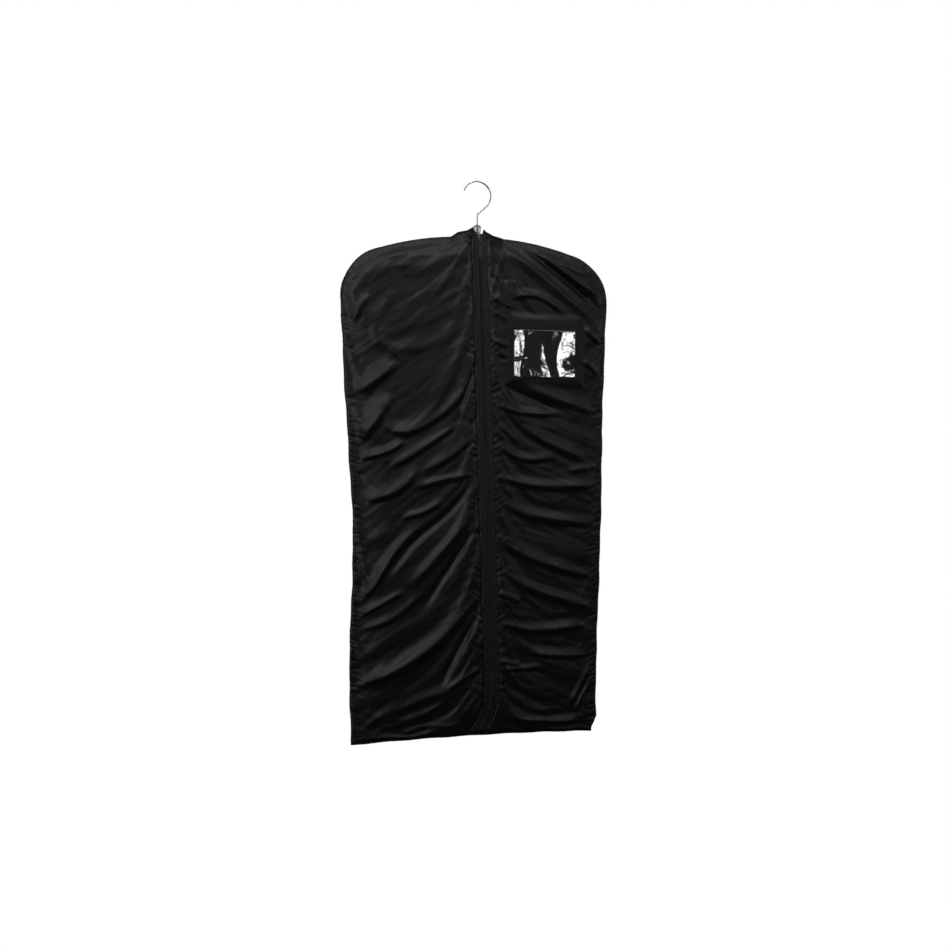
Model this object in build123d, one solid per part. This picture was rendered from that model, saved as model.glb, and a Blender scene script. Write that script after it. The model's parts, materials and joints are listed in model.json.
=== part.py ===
from build123d import *
import math
import os

# Hanging garment bag: a gathered black fabric shell on a moulded hanger with a swivel hook.
# Millimetres. +Z is up, the front faces -Y and +X is the viewer's right.
# The origin is the point inside the crown of the hook where the hanging rod touches it.

# ---------------------------------------------------------------- driving dimensions
# hook
WIRE_D = 4.0  # hook wire
LOOP_R = 31.0  # hook loop, to the wire's centre
LOOP_TIP_DEG = 163.0  # where the loop ends, from +X
LOOP_HEEL_DEG = 48.0  # how far below +X the loop runs before it turns in to the shank
HEEL_BEND_R = 10.0  # reverse bend between the loop and the shank
SWIVEL_CLEARANCE = 0.06  # radial, shank in the hanger's neck
RETAINER_WALL = 2.0  # pressed collar that holds the shank in the neck
RETAINER_H = 3.0
RETAINER_CLEARANCE = 0.75  # radial, in the neck's window
SHANK_PAST_RETAINER = 0.5

# hanger
NECK_TOP_ABOVE_ZIP = 28.0  # top of the neck boss over the zipper's top end
NECK_D = 18.0
NECK_WAIST_D = 14.0
NECK_CHAMFER = 3.0
NECK_BAND_H = 12.0  # full width below the neck's top
NECK_TAPER_H = 8.0
NECK_HEAD_H = 16.0  # solid head that the shank turns in
NECK_WINDOW_H = 8.0  # window under the head, for the retainer
HANGER_T = 10.0  # arm thickness, front to back
HANGER_ARM_H = 15.0
HANGER_CLEARANCE = 2.0  # arm inside the cloth
HANGER_RISE = 4.0  # the arms' top at the middle, over their height at the collar's foot
ARM_ROUNDING = 0.48  # edge radius over the arm's thickness

# bag outline, as it hangs; heights are measured down from the zipper's top end
ZIP_TOP_BELOW_ORIGIN = 122.0
BAG_H = 1093.0
SHOULDER_HALF_W = 302.0
WAIST_INSET = 17.0  # inside the widest place
HEM_INSET = 26.0
SHOULDER_START_X = 60.0  # the top seam closes here, outside the neck opening
SHOULDER_END_INSET = 87.0
SHOULDER_END_DROP = 29.0
SHOULDER_MID_DROP = 9.5  # halfway along the shoulder
CORNER_MID_INSET = 24.0
CORNER_MID_DROP = 67.0
CORNER_END_DROP = 150.0
PEAK_X = 14.0  # corners of the collar beside the hanger's neck
PEAK_H = 20.0
NOTCH_HALF_W = 4.0  # foot of the V between them
BACK_COLLAR_H = 12.0

# how far each outline point moves when the outline is drawn further in, as shares of the side's move
SHOULDER_MID_SHIFT = 0.1
SHOULDER_END_SHIFT = 0.25
CORNER_SHIFT_X = 0.72
CORNER_SHIFT_Z = 0.7  # of the mean of the shoulder's move and the side's
CORNER_END_SHIFT = 0.2

# bag depth and cloth
CLOTH_T = 0.8
FRONT_DEPTH = 18.0  # seam plane to the inside of the front
BACK_DEPTH = 14.0
SEAM_W = 7.0  # flat seam where front and back meet
SHOULDER_RAMP = 22.0  # width over which the cloth comes out to full depth
SIDE_RAMP = 45.0
HEM_RAMP = 24.0
NECK_RAMP_X = 16.0  # the full depth reaches this close to the middle at the neck
NECK_RAMP_RUN = 14.0  # and slants out to the shoulder over this width
COLLAR_FOOT_INSET = 2.0  # seam plane at the collar's foot, inside the shoulder's start
SLAB_T = 60.0  # behind each face's seam plane, enough to pass the whole bag

# binding
BINDING_T = 0.6
BINDING_W = 6.0
NECK_GAP_H = 80.0  # the binding stops at the neck opening
NECK_HEM_W = 4.0
NECK_HEM_UNDER_PEAK = 1.6  # hem's depth over its width
NECK_HEM_AT_FOOT = 0.6
NECK_HEM_END = 1.0  # stops this far from the shoulder seam and from the tape
BACK_HEM_W = 5.0
BACK_HEM_AT_FOOT = 2.5

# zipper
TAPE_HALF_W = 15.5
TAPE_T = 0.7
TAPE_LAP = 5.0  # cloth behind the tape
COIL_GAP = 2.6  # between the two coil cores, for the slider's wedge
COIL_W = 2.4
COIL_T = 2.2
ZIP_LEAN_DEG = 1.7
CURL_H = 108.0  # height of the curl at the zipper's foot
CURL_R = 150.0
CURL_END_DEG = -27.0  # direction of the tape at the hem
TOP_STOP_L = 3.0
TOP_STOP_DROP = 1.0
BOTTOM_STOP_L = 5.0
STOP_CRIMP = 0.4  # top stops thicker than the coil
BOTTOM_STOP_RUN = 48.0  # along the curl, from the end of the straight length
STAPLE_SIDE_T = 0.9
STAPLE_FACE_T = 0.7
STAPLE_SIDE_CLEARANCE = 0.6
STAPLE_FACE_CLEARANCE = 0.4
STAPLE_TAPE_CLEARANCE = 0.3
STAPLE_CORE_CLEARANCE = 0.3

# slider and pull
SLIDER_L = 20.0
SLIDER_DROP = 5.0  # slider's top under the zipper's top end, closed
SLIDER_PLATE_T = 1.1
SLIDER_FLANGE_W = 1.5
SLIDER_CORNER_R = 2.2
SLIDER_CHAMFER = 0.35
CHAIN_CLEARANCE = 0.4  # slider around the coil and the tape
COIL_SIDE_CLEARANCE = 0.6
WEDGE_W = 2.0
WEDGE_L = 4.0
WEDGE_INSET = 0.4  # under the slider's top
CROWN_W = 3.0
CROWN_T = 1.1
CROWN_BAR_CLEARANCE = 0.4
CROWN_END_CLEARANCE = 0.8
CROWN_SPLAY = 1.2  # each foot of the arch beyond its top
CROWN_BEVEL = 0.9
CROWN_BELOW_TOP = 8.0  # pull's axis under the slider's top
PULL_T = 1.6
PULL_L = 38.0
PULL_RAIL_W = 1.3  # beside the window
PULL_SIDE_CLEARANCE = 0.7  # window beside the crown
PULL_FOOT_CLEARANCE = 1.5  # window under the crown's foot
PULL_TIP_R = 2.2
PULL_HOLE_R = 1.5
PULL_HOLE_UP = 5.5  # from the tip

# card pocket, on the right front
CARD_X = 73.0  # left edge
CARD_DROP = 176.0  # top edge
CARD_W = 155.0
CARD_H = 133.0
CARD_MOUTH_DROP = 24.0  # top edge of the window under the top edge of the backing
VINYL_T = 0.3
CARD_SLACK = 0.4  # room for the card
CARD_FRAME_W = 7.0
CARD_FRAME_T = 0.5

# ---------------------------------------------------------------- derived places
WIRE_R = WIRE_D / 2
LOOP_Z = WIRE_R - LOOP_R
ZIP_TOP_Z = -ZIP_TOP_BELOW_ORIGIN
HEM_Z = ZIP_TOP_Z - BAG_H
NECK_TOP_Z = ZIP_TOP_Z + NECK_TOP_ABOVE_ZIP
NECK_HEAD_Z = NECK_TOP_Z - NECK_HEAD_H
RETAINER_R = WIRE_R + RETAINER_WALL
SHOULDER_END_X = SHOULDER_HALF_W - SHOULDER_END_INSET
SHOULDER_MID_X = (SHOULDER_START_X + SHOULDER_END_X) / 2
WAIST_DROP = (CORNER_END_DROP + BAG_H) / 2
ZIP_STRAIGHT = BAG_H - CURL_H
SHOULDER_SLOPE = math.atan2(BACK_DEPTH, SHOULDER_RAMP)
HANGER_BELOW_SEAM = SEAM_W + (HANGER_T / 2 + HANGER_CLEARANCE) / math.sin(SHOULDER_SLOPE) - HANGER_T / 2
LEAN = math.radians(ZIP_LEAN_DEG)
CURL_END = math.radians(CURL_END_DEG)
COIL_IN = COIL_GAP / 2
COIL_OUT = COIL_IN + COIL_W
TAPE_Y = -FRONT_DEPTH - CLOTH_T - TAPE_T / 2
FAR = 500.0  # beyond the object on every side
ABOVE_COLLAR = PEAK_H + 30.0


def add_mirrored(points):
    """Left-hand copies of right-hand points, in reverse order."""
    return [(-x, z) for x, z in reversed(points)]


def drop_point(x, drop):
    """A point of the front view from its drop under the zipper's top end."""
    return (x, ZIP_TOP_Z - drop)


def outline_points(shoulder_in, side_in, hem_in):
    """Right half of the bag's outline from shoulder seam to hem, moved inwards by the three widths."""
    corner_in = (shoulder_in + side_in) / 2
    return {
        "shoulder": drop_point(SHOULDER_START_X, shoulder_in),
        "shoulder_mid": drop_point(
            SHOULDER_MID_X - SHOULDER_MID_SHIFT * side_in, SHOULDER_MID_DROP + shoulder_in
        ),
        "shoulder_end": drop_point(
            SHOULDER_END_X - SHOULDER_END_SHIFT * side_in, SHOULDER_END_DROP + shoulder_in
        ),
        "corner_mid": drop_point(
            SHOULDER_HALF_W - CORNER_MID_INSET - CORNER_SHIFT_X * side_in,
            CORNER_MID_DROP + CORNER_SHIFT_Z * corner_in,
        ),
        "corner_end": drop_point(
            SHOULDER_HALF_W - side_in, CORNER_END_DROP + CORNER_END_SHIFT * side_in
        ),
        "waist": drop_point(SHOULDER_HALF_W - WAIST_INSET - side_in, WAIST_DROP),
        "hem": drop_point(SHOULDER_HALF_W - HEM_INSET - side_in, BAG_H - hem_in),
    }


def body_edges(p, neck_x):
    """Closed front-view outline whose sides run straight up past the collar at neck_x."""
    top = (neck_x, ZIP_TOP_Z + ABOVE_COLLAR)

    def flip(point):
        return (-point[0], point[1])

    right = [
        Line(top, p["shoulder"]),
        ThreePointArc(p["shoulder"], p["shoulder_mid"], p["shoulder_end"]),
        ThreePointArc(p["shoulder_end"], p["corner_mid"], p["corner_end"]),
        ThreePointArc(p["corner_end"], p["waist"], p["hem"]),
    ]
    left = [
        ThreePointArc(flip(p["hem"]), flip(p["waist"]), flip(p["corner_end"])),
        ThreePointArc(flip(p["corner_end"]), flip(p["corner_mid"]), flip(p["shoulder_end"])),
        ThreePointArc(flip(p["shoulder_end"]), flip(p["shoulder_mid"]), flip(p["shoulder"])),
        Line(flip(p["shoulder"]), flip(top)),
    ]
    return [Line(flip(top), top), *right, Line(p["hem"], flip(p["hem"])), *left]


def front_wire(edges, y):
    """A front-view outline standing in the plane at depth y."""
    wire = Wire([Plane.XZ * edge for edge in edges])
    return wire.moved(Location((0, y, 0)))


def prism(face):
    """A front-view face cut right through the bag."""
    return extrude(Plane.XZ * face, FAR, both=True)


def polygon(points):
    return make_face(Polyline(*points, close=True))


SEAM_EDGES = body_edges(outline_points(SEAM_W, SEAM_W, SEAM_W), SHOULDER_START_X - COLLAR_FOOT_INSET)
FULL_EDGES = body_edges(
    outline_points(SEAM_W + SHOULDER_RAMP, SEAM_W + SIDE_RAMP, SEAM_W + HEM_RAMP)
    | {"shoulder": drop_point(NECK_RAMP_X + NECK_RAMP_RUN, SEAM_W + SHOULDER_RAMP)},
    NECK_RAMP_X,
)


def behind_surface(offset, depth):
    """Everything behind a bag face that bulges forward by depth; offset moves the face in Y."""
    wires = [front_wire(SEAM_EDGES, offset), front_wire(FULL_EDGES, offset - depth)]
    bulge = Solid.make_loft(wires, ruled=True)
    slab = Pos(0, offset + SLAB_T / 2, HEM_Z / 2) * Box(2 * FAR, SLAB_T, 4 * FAR)
    return slab + Part(bulge.wrapped)


def layer(outer, inner, depth):
    """A layer over a bag face, between two offsets from its inside; negative offsets lie further out."""
    return behind_surface(outer, depth) - behind_surface(inner, depth)


# ---------------------------------------------------------------- outlines in the front view
def collar_points(peak_h):
    """Top edge near the neck, from the right collar foot to the peak."""
    return [drop_point(SHOULDER_START_X, 0), drop_point(PEAK_X, -peak_h)]


def panel_face(top_points, grow=0.0):
    """The bag's outline, with its top edge near the neck given as right-hand points."""
    p = outline_points(-grow, -grow, -grow)
    q = {name: (-x, z) for name, (x, z) in p.items()}
    top = [p["shoulder"], *top_points, *add_mirrored(top_points), q["shoulder"]]
    edges = [
        Polyline(*top),
        ThreePointArc(p["shoulder"], p["shoulder_mid"], p["shoulder_end"]),
        ThreePointArc(p["shoulder_end"], p["corner_mid"], p["corner_end"]),
        ThreePointArc(p["corner_end"], p["waist"], p["hem"]),
        Line(p["hem"], q["hem"]),
        ThreePointArc(q["hem"], q["waist"], q["corner_end"]),
        ThreePointArc(q["corner_end"], q["corner_mid"], q["shoulder_end"]),
        ThreePointArc(q["shoulder_end"], q["shoulder_mid"], q["shoulder"]),
    ]
    return make_face(edges)


def zip_point(run, across):
    """Front-view point at a distance along the zipper and across it."""
    if run <= ZIP_STRAIGHT:
        x = run * math.sin(LEAN) + across * math.cos(LEAN)
        z = -run * math.cos(LEAN) + across * math.sin(LEAN)
        return (x, ZIP_TOP_Z + z)
    centre_x = ZIP_STRAIGHT * math.sin(LEAN) - CURL_R * math.cos(LEAN)
    centre_z = -ZIP_STRAIGHT * math.cos(LEAN) - CURL_R * math.sin(LEAN)
    angle = max(LEAN - (run - ZIP_STRAIGHT) / CURL_R, CURL_END)
    past = max(run - ZIP_STRAIGHT - CURL_R * (LEAN - CURL_END), 0)
    x = centre_x + (CURL_R + across) * math.cos(angle) + past * math.sin(angle)
    z = centre_z + (CURL_R + across) * math.sin(angle) - past * math.cos(angle)
    return (x, ZIP_TOP_Z + z)


CURL_RUN = CURL_R * (LEAN - CURL_END)
ZIP_PAST_HEM = ZIP_STRAIGHT + CURL_RUN + 80.0  # runs past the hem, to be cut there


def zip_band(near, far, start, end=ZIP_PAST_HEM):
    """Front-view face of a strip along the zipper, between two distances across it."""
    if end <= ZIP_STRAIGHT:
        ends = [(start, near), (start, far), (end, far), (end, near)]
        return polygon([zip_point(run, across) for run, across in ends])

    def side(across):
        arc_mid = ZIP_STRAIGHT + CURL_RUN / 2
        arc_end = ZIP_STRAIGHT + CURL_RUN
        return [
            Line(zip_point(start, across), zip_point(ZIP_STRAIGHT, across)),
            ThreePointArc(
                zip_point(ZIP_STRAIGHT, across), zip_point(arc_mid, across), zip_point(arc_end, across)
            ),
            Line(zip_point(arc_end, across), zip_point(end, across)),
        ]

    ends = [
        Line(zip_point(start, near), zip_point(start, far)),
        Line(zip_point(end, near), zip_point(end, far)),
    ]
    return make_face([*side(near), *side(far), *ends])


def right_half():
    """Everything to the right of the zipper's middle line, which runs on straight above its top."""
    return prism(zip_band(0, FAR, -ABOVE_COLLAR))


# ---------------------------------------------------------------- hook
def hook_path():
    """Centre line of the hook wire from tip to the shank's lower end, in the front view."""
    heel = math.radians(-LOOP_HEEL_DEG)
    tip = math.radians(LOOP_TIP_DEG)
    crown = math.radians(90)
    loop_end = (LOOP_R * math.cos(heel), LOOP_Z + LOOP_R * math.sin(heel))
    direction = (math.sin(heel), -math.cos(heel))
    bend_dx = HEEL_BEND_R * (1 - math.cos(heel))
    run = (loop_end[0] - bend_dx) / -direction[0]
    bend_start = (bend_dx, loop_end[1] + run * direction[1])
    bend_end = (0.0, bend_start[1] + HEEL_BEND_R * math.sin(heel))
    half = heel / 2
    bend_mid = (HEEL_BEND_R * (1 - math.cos(half)), bend_end[1] - HEEL_BEND_R * math.sin(half))
    shank_end = (0.0, NECK_HEAD_Z - RETAINER_H - SHANK_PAST_RETAINER)
    return [
        ThreePointArc(
            (LOOP_R * math.cos(tip), LOOP_Z + LOOP_R * math.sin(tip)),
            (LOOP_R * math.cos(crown), LOOP_Z + LOOP_R),
            loop_end,
        ),
        Line(loop_end, bend_start),
        ThreePointArc(bend_start, bend_mid, bend_end),
        Line(bend_end, shank_end),
    ]


def make_hook():
    path = Wire([Plane.XZ * edge for edge in hook_path()])
    start = path.position_at(0)
    section = Plane(origin=start, z_dir=path.tangent_at(0)) * Circle(WIRE_R)
    wire = sweep(section, path=path)
    return wire + Pos(*start) * Sphere(WIRE_R)


def make_retainer():
    """Pressed collar on the shank's end, just under the neck's head."""
    top = NECK_HEAD_Z - SWIVEL_CLEARANCE
    ring = Cylinder(RETAINER_R, RETAINER_H) - Cylinder(WIRE_R, RETAINER_H)
    return Pos(0, 0, top - RETAINER_H / 2) * ring


# ---------------------------------------------------------------- hanger
def make_hanger():
    """Moulded hanger: round neck, window for the retainer, and two arms along the shoulder seams."""
    seam = outline_points(HANGER_BELOW_SEAM, 0, 0)
    top = drop_point(0, HANGER_BELOW_SEAM - HANGER_RISE)

    def low(point):
        return (point[0], point[1] - HANGER_ARM_H)

    start, mid, end = seam["shoulder"], seam["shoulder_mid"], seam["shoulder_end"]
    right = make_face([
        Line(top, start),
        ThreePointArc(start, mid, end),
        Line(end, low(end)),
        ThreePointArc(low(end), low(mid), low(start)),
        Line(low(start), low(top)),
        Line(low(top), top),
    ])
    arms = extrude(Plane.XZ * (right + mirror(right, Plane.YZ)), HANGER_T / 2, both=True)
    arms = fillet(arms.edges().filter_by(GeomType.CIRCLE), HANGER_T * ARM_ROUNDING)
    taper_z = NECK_TOP_Z - NECK_BAND_H
    waist_z = taper_z - NECK_TAPER_H
    foot_z = top[1] - HANGER_ARM_H / 2
    profile = make_face(Plane.XZ * Polyline(
        (0, NECK_TOP_Z), (NECK_D / 2 - NECK_CHAMFER, NECK_TOP_Z), (NECK_D / 2, NECK_TOP_Z - NECK_CHAMFER),
        (NECK_D / 2, taper_z), (NECK_WAIST_D / 2, waist_z), (NECK_WAIST_D / 2, foot_z), (0, foot_z),
        close=True,
    ))
    neck = revolve(profile, Axis.Z)
    bore = Pos(0, 0, NECK_HEAD_Z + NECK_HEAD_H / 2) * Cylinder(WIRE_R + SWIVEL_CLEARANCE, NECK_HEAD_H)
    window_w = 2 * (RETAINER_R + RETAINER_CLEARANCE)
    window = Pos(0, 0, NECK_HEAD_Z - NECK_WINDOW_H / 2) * Box(window_w, NECK_D, NECK_WINDOW_H)
    return arms + neck - bore - window


# ---------------------------------------------------------------- cloth shell
def above_hem_binding():
    """Everything above the hem's binding, where the zipper stops."""
    return Pos(0, 0, HEM_Z + BINDING_W + FAR * 2) * Box(4 * FAR, 4 * FAR, 4 * FAR)


def make_front_panels():
    notch = [drop_point(PEAK_X, -PEAK_H), drop_point(NOTCH_HALF_W, 0)]
    whole = layer(-CLOTH_T, 0, FRONT_DEPTH) & prism(panel_face(notch))
    slot_half = TAPE_HALF_W - TAPE_LAP
    slot = prism(zip_band(-slot_half, slot_half, 0))
    return {
        "front_panel_left": whole - slot - right_half(),
        "front_panel_right": (whole - slot) & right_half(),
    }


def make_back_panel():
    top = [drop_point(PEAK_X * 2, -BACK_COLLAR_H)]
    whole = layer(-CLOTH_T, 0, BACK_DEPTH)
    return mirror(whole, Plane.XZ) & prism(panel_face(top))


def seam_ring(cover_t):
    """Channel of binding around the seam, cover_t thick over each face and the edge."""
    outer = panel_face([], BINDING_T)
    inner = panel_face([], -(BINDING_W - BINDING_T))
    cloth = panel_face([])
    ring = extrude(Plane.XZ * (outer - inner), CLOTH_T + cover_t, both=True)
    return ring - extrude(Plane.XZ * cloth, CLOTH_T, both=True)


def make_bindings():
    ring = seam_ring(BINDING_T)
    neck_gap = Pos(0, 0, ZIP_TOP_Z) * Box(2 * SHOULDER_START_X, FAR, NECK_GAP_H)
    ring = ring - neck_gap
    hem_cut_z = HEM_Z + BINDING_W - BINDING_T
    low = Pos(0, 0, hem_cut_z - FAR / 2) * Box(4 * FAR, FAR, FAR)
    sides = ring - low
    right = Pos(FAR, 0, 0) * Box(2 * FAR, FAR, 8 * FAR)
    left = Pos(-FAR, 0, 0) * Box(2 * FAR, FAR, 8 * FAR)
    return {
        "side_binding_left": sides & left,
        "side_binding_right": sides & right,
        "hem_binding": ring & low,
    }


def neck_strip(side):
    """Front-view strip along the V and the collar's top edge on one side."""
    foot = drop_point(SHOULDER_START_X - NECK_HEM_END, -NECK_HEM_END)
    peak = drop_point(PEAK_X, -PEAK_H)
    notch = drop_point(NOTCH_HALF_W, -NECK_HEM_END)
    inner_peak = (peak[0], peak[1] - NECK_HEM_UNDER_PEAK * NECK_HEM_W)
    inner_foot = (foot[0] - 2 * NECK_HEM_END, foot[1] - NECK_HEM_AT_FOOT * NECK_HEM_W)
    inner_notch = (notch[0] + NECK_HEM_W, notch[1])
    points = [notch, peak, foot, inner_foot, inner_peak, inner_notch]
    return polygon([(side * x, z) for x, z in points])


def make_neck_hems():
    cover = layer(-CLOTH_T - BINDING_T, -CLOTH_T, FRONT_DEPTH)
    hems = {
        "neck_hem_left": cover & prism(neck_strip(-1)),
        "neck_hem_right": cover & prism(neck_strip(1)),
    }
    back_cover = mirror(layer(-CLOTH_T - BINDING_T, -CLOTH_T, BACK_DEPTH), Plane.XZ)
    foot = drop_point(SHOULDER_START_X - NECK_HEM_END, -NECK_HEM_END)
    crest = drop_point(PEAK_X * 2, -BACK_COLLAR_H)
    low_foot = (foot[0] - BACK_HEM_W, foot[1] - BACK_HEM_AT_FOOT)
    low_crest = (crest[0], crest[1] - BACK_HEM_W)
    points = [foot, crest, *add_mirrored([foot, crest]), *add_mirrored([low_crest, low_foot])]
    points = [*points, low_crest, low_foot]
    hems["neck_hem_back"] = back_cover & prism(polygon(points))
    return hems


# ---------------------------------------------------------------- zipper
def make_tapes():
    cover = layer(-CLOTH_T - TAPE_T, -CLOTH_T, FRONT_DEPTH) & above_hem_binding()
    return {
        "zipper_tape_left": cover & prism(zip_band(-TAPE_HALF_W, -COIL_OUT, 0)),
        "zipper_tape_right": cover & prism(zip_band(COIL_OUT, TAPE_HALF_W, 0)),
    }


def make_coils():
    """The coils' cores. They stand apart so that the slider's wedge passes between them."""
    outer = -CLOTH_T - TAPE_T / 2 - COIL_T / 2
    cover = layer(outer, outer + COIL_T, FRONT_DEPTH) & above_hem_binding()
    start = TOP_STOP_DROP + TOP_STOP_L
    return {
        "zipper_coil_left": cover & prism(zip_band(-COIL_OUT, -COIL_IN, start)),
        "zipper_coil_right": cover & prism(zip_band(COIL_IN, COIL_OUT, start)),
    }


def on_zip(run):
    """Placement on the tape's middle plane at a distance along the zipper, local -Z running down it."""
    x, z = zip_point(run, 0)
    angle = ZIP_LEAN_DEG if run <= ZIP_STRAIGHT else math.degrees(LEAN - (run - ZIP_STRAIGHT) / CURL_R)
    return Pos(x, TAPE_Y, z) * Rot(0, -angle, 0)


def make_stops():
    """Two crimped top stops in line with the coils, and the staple across both coils at the foot."""
    stop = Box(COIL_W, COIL_T + STOP_CRIMP, TOP_STOP_L)
    middle = (COIL_IN + COIL_OUT) / 2
    place = on_zip(TOP_STOP_DROP + TOP_STOP_L / 2)
    room_w = 2 * (COIL_OUT + STAPLE_SIDE_CLEARANCE)
    room_t = COIL_T + 2 * STAPLE_FACE_CLEARANCE
    staple_w = room_w + 2 * STAPLE_SIDE_T
    staple_t = room_t + 2 * STAPLE_FACE_T
    staple = Box(staple_w, staple_t, BOTTOM_STOP_L) - Box(room_w, room_t, BOTTOM_STOP_L)
    staple = staple - Box(staple_w, TAPE_T + 2 * STAPLE_TAPE_CLEARANCE, BOTTOM_STOP_L)
    staple = staple + Box(COIL_GAP - 2 * STAPLE_CORE_CLEARANCE, staple_t, BOTTOM_STOP_L)
    return {
        "zipper_top_stop_left": place * Pos(-middle, 0, 0) * stop,
        "zipper_top_stop_right": place * Pos(middle, 0, 0) * stop,
        "zipper_bottom_stop": on_zip(ZIP_STRAIGHT + BOTTOM_STOP_RUN) * staple,
    }


# ---------------------------------------------------------------- slider and pull
INNER_T = COIL_T + 2 * CHAIN_CLEARANCE
SLIDER_T = INNER_T + 2 * SLIDER_PLATE_T
INNER_W = 2 * (COIL_OUT + COIL_SIDE_CLEARANCE)
SLIDER_W = INNER_W + 2 * SLIDER_FLANGE_W
PLATE_Y = -SLIDER_T / 2  # front of the slider, from the tape's middle plane
BAR_Y = PLATE_Y - CROWN_BAR_CLEARANCE - PULL_T / 2
PULL_RUN = SLIDER_DROP + CROWN_BELOW_TOP
CAVITY_HALF = PULL_T / 2 + CROWN_END_CLEARANCE  # of the arch, along the zipper
CROWN_HALF = CAVITY_HALF + CROWN_T
CROWN_FOOT = CROWN_HALF + CROWN_SPLAY
PULL_WINDOW_W = CROWN_W + 2 * PULL_SIDE_CLEARANCE
PULL_WINDOW_L = CROWN_FOOT + PULL_FOOT_CLEARANCE - PULL_T / 2
PULL_W = PULL_WINDOW_W + 2 * PULL_RAIL_W


def make_slider():
    """Two plates joined by the wedge at the top, with flanges that leave a slot for each tape."""
    place = on_zip(SLIDER_DROP + SLIDER_L / 2)
    block = Box(SLIDER_W, SLIDER_T, SLIDER_L)
    block = fillet(block.edges().filter_by(Axis.Y), SLIDER_CORNER_R)
    block = chamfer(block.faces().sort_by(Axis.Y)[0].edges(), SLIDER_CHAMFER)
    block = block - Box(INNER_W, INNER_T, SLIDER_L)
    block = block - Box(SLIDER_W, TAPE_T + 2 * CHAIN_CLEARANCE, SLIDER_L)
    wedge = Pos(0, 0, SLIDER_L / 2 - WEDGE_L / 2 - WEDGE_INSET) * Box(WEDGE_W, INNER_T, WEDGE_L)
    return place * (block + wedge)


def make_crown():
    """Small arch on the slider's front plate that the pull hangs from."""
    place = on_zip(PULL_RUN)
    cavity_y = BAR_Y - PULL_T / 2 - CROWN_BAR_CLEARANCE
    outer_y = cavity_y - CROWN_T
    bevel_y = outer_y + CROWN_BEVEL
    flat_half = CROWN_HALF - CROWN_BEVEL
    side = Plane.YZ * Polyline(
        (PLATE_Y, -CROWN_FOOT), (bevel_y, -CROWN_HALF), (outer_y, -flat_half),
        (outer_y, flat_half), (bevel_y, CROWN_HALF), (PLATE_Y, CROWN_FOOT), close=True,
    )
    hole = Plane.YZ * Polyline(
        (PLATE_Y, -CAVITY_HALF), (cavity_y, -CAVITY_HALF), (cavity_y, CAVITY_HALF), (PLATE_Y, CAVITY_HALF),
        close=True,
    )
    arch = extrude(make_face(side), CROWN_W / 2, both=True) - extrude(make_face(hole), CROWN_W, both=True)
    return place * arch


def make_pull():
    """Flat pull with a window for the crown at its top and a hole near its tip."""
    place = on_zip(PULL_RUN)
    bar_r = PULL_T / 2
    length = PULL_L - bar_r
    plate = Pos(0, BAR_Y, -length / 2) * Box(PULL_W, PULL_T, length)
    plate = fillet(plate.edges().filter_by(Axis.Y).sort_by(Axis.Z)[:2], PULL_TIP_R)
    knuckle = Pos(0, BAR_Y, 0) * Rot(0, 90, 0) * Cylinder(bar_r, PULL_W)
    window = Pos(0, BAR_Y, -bar_r - PULL_WINDOW_L / 2) * Box(PULL_WINDOW_W, PULL_T, PULL_WINDOW_L)
    tip_hole = Pos(0, BAR_Y, -length + PULL_HOLE_UP) * Rot(90, 0, 0) * Cylinder(PULL_HOLE_R, PULL_T)
    return place * (plate + knuckle - window - tip_hole)


# ---------------------------------------------------------------- card pocket
def card_box(left, top, width, height, back, front):
    """A flat piece of the pocket, placed from its corner; back and front are outward from the cloth."""
    x = CARD_X + left + width / 2
    z = ZIP_TOP_Z - CARD_DROP - top - height / 2
    y = -FRONT_DEPTH - CLOTH_T - (back + front) / 2
    return Pos(x, y, z) * Box(width, front - back, height)


def make_card_pocket():
    window_back = VINYL_T + CARD_SLACK
    window_front = window_back + VINYL_T
    tall = CARD_H - CARD_MOUTH_DROP
    backing = card_box(0, 0, CARD_W, CARD_H, 0, VINYL_T)
    window = card_box(0, CARD_MOUTH_DROP, CARD_W, tall, window_back, window_front)
    frame = card_box(0, CARD_MOUTH_DROP, CARD_W, tall, window_front, window_front + CARD_FRAME_T)
    open_w = CARD_W - 2 * CARD_FRAME_W
    open_h = tall - CARD_FRAME_W
    opening = card_box(CARD_FRAME_W, CARD_MOUTH_DROP, open_w, open_h, -FRONT_DEPTH, FRONT_DEPTH)
    weld = card_box(0, CARD_MOUTH_DROP, CARD_W, tall, VINYL_T, window_back)
    return {
        "card_backing": backing,
        "card_window": window,
        "card_frame": frame - opening,
        "card_weld": weld - opening,
    }


def main():
    parts = {
        "hook": make_hook(),
        "hook_retainer": make_retainer(),
        "hanger_body": make_hanger(),
        **make_front_panels(),
        "back_panel": make_back_panel(),
        "slider_body": make_slider(),
        "slider_crown": make_crown(),
        "pull_tab": make_pull(),
        **make_bindings(),
        **make_neck_hems(),
        **make_tapes(),
        **make_coils(),
        **make_stops(),
        **make_card_pocket(),
    }
    os.makedirs("parts", exist_ok=True)
    for name, shape in parts.items():
        export_step(shape, f"parts/{name}.step")


main()
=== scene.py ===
import bmesh
import bpy
import json
import math
import numpy as np
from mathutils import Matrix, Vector, noise


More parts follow.
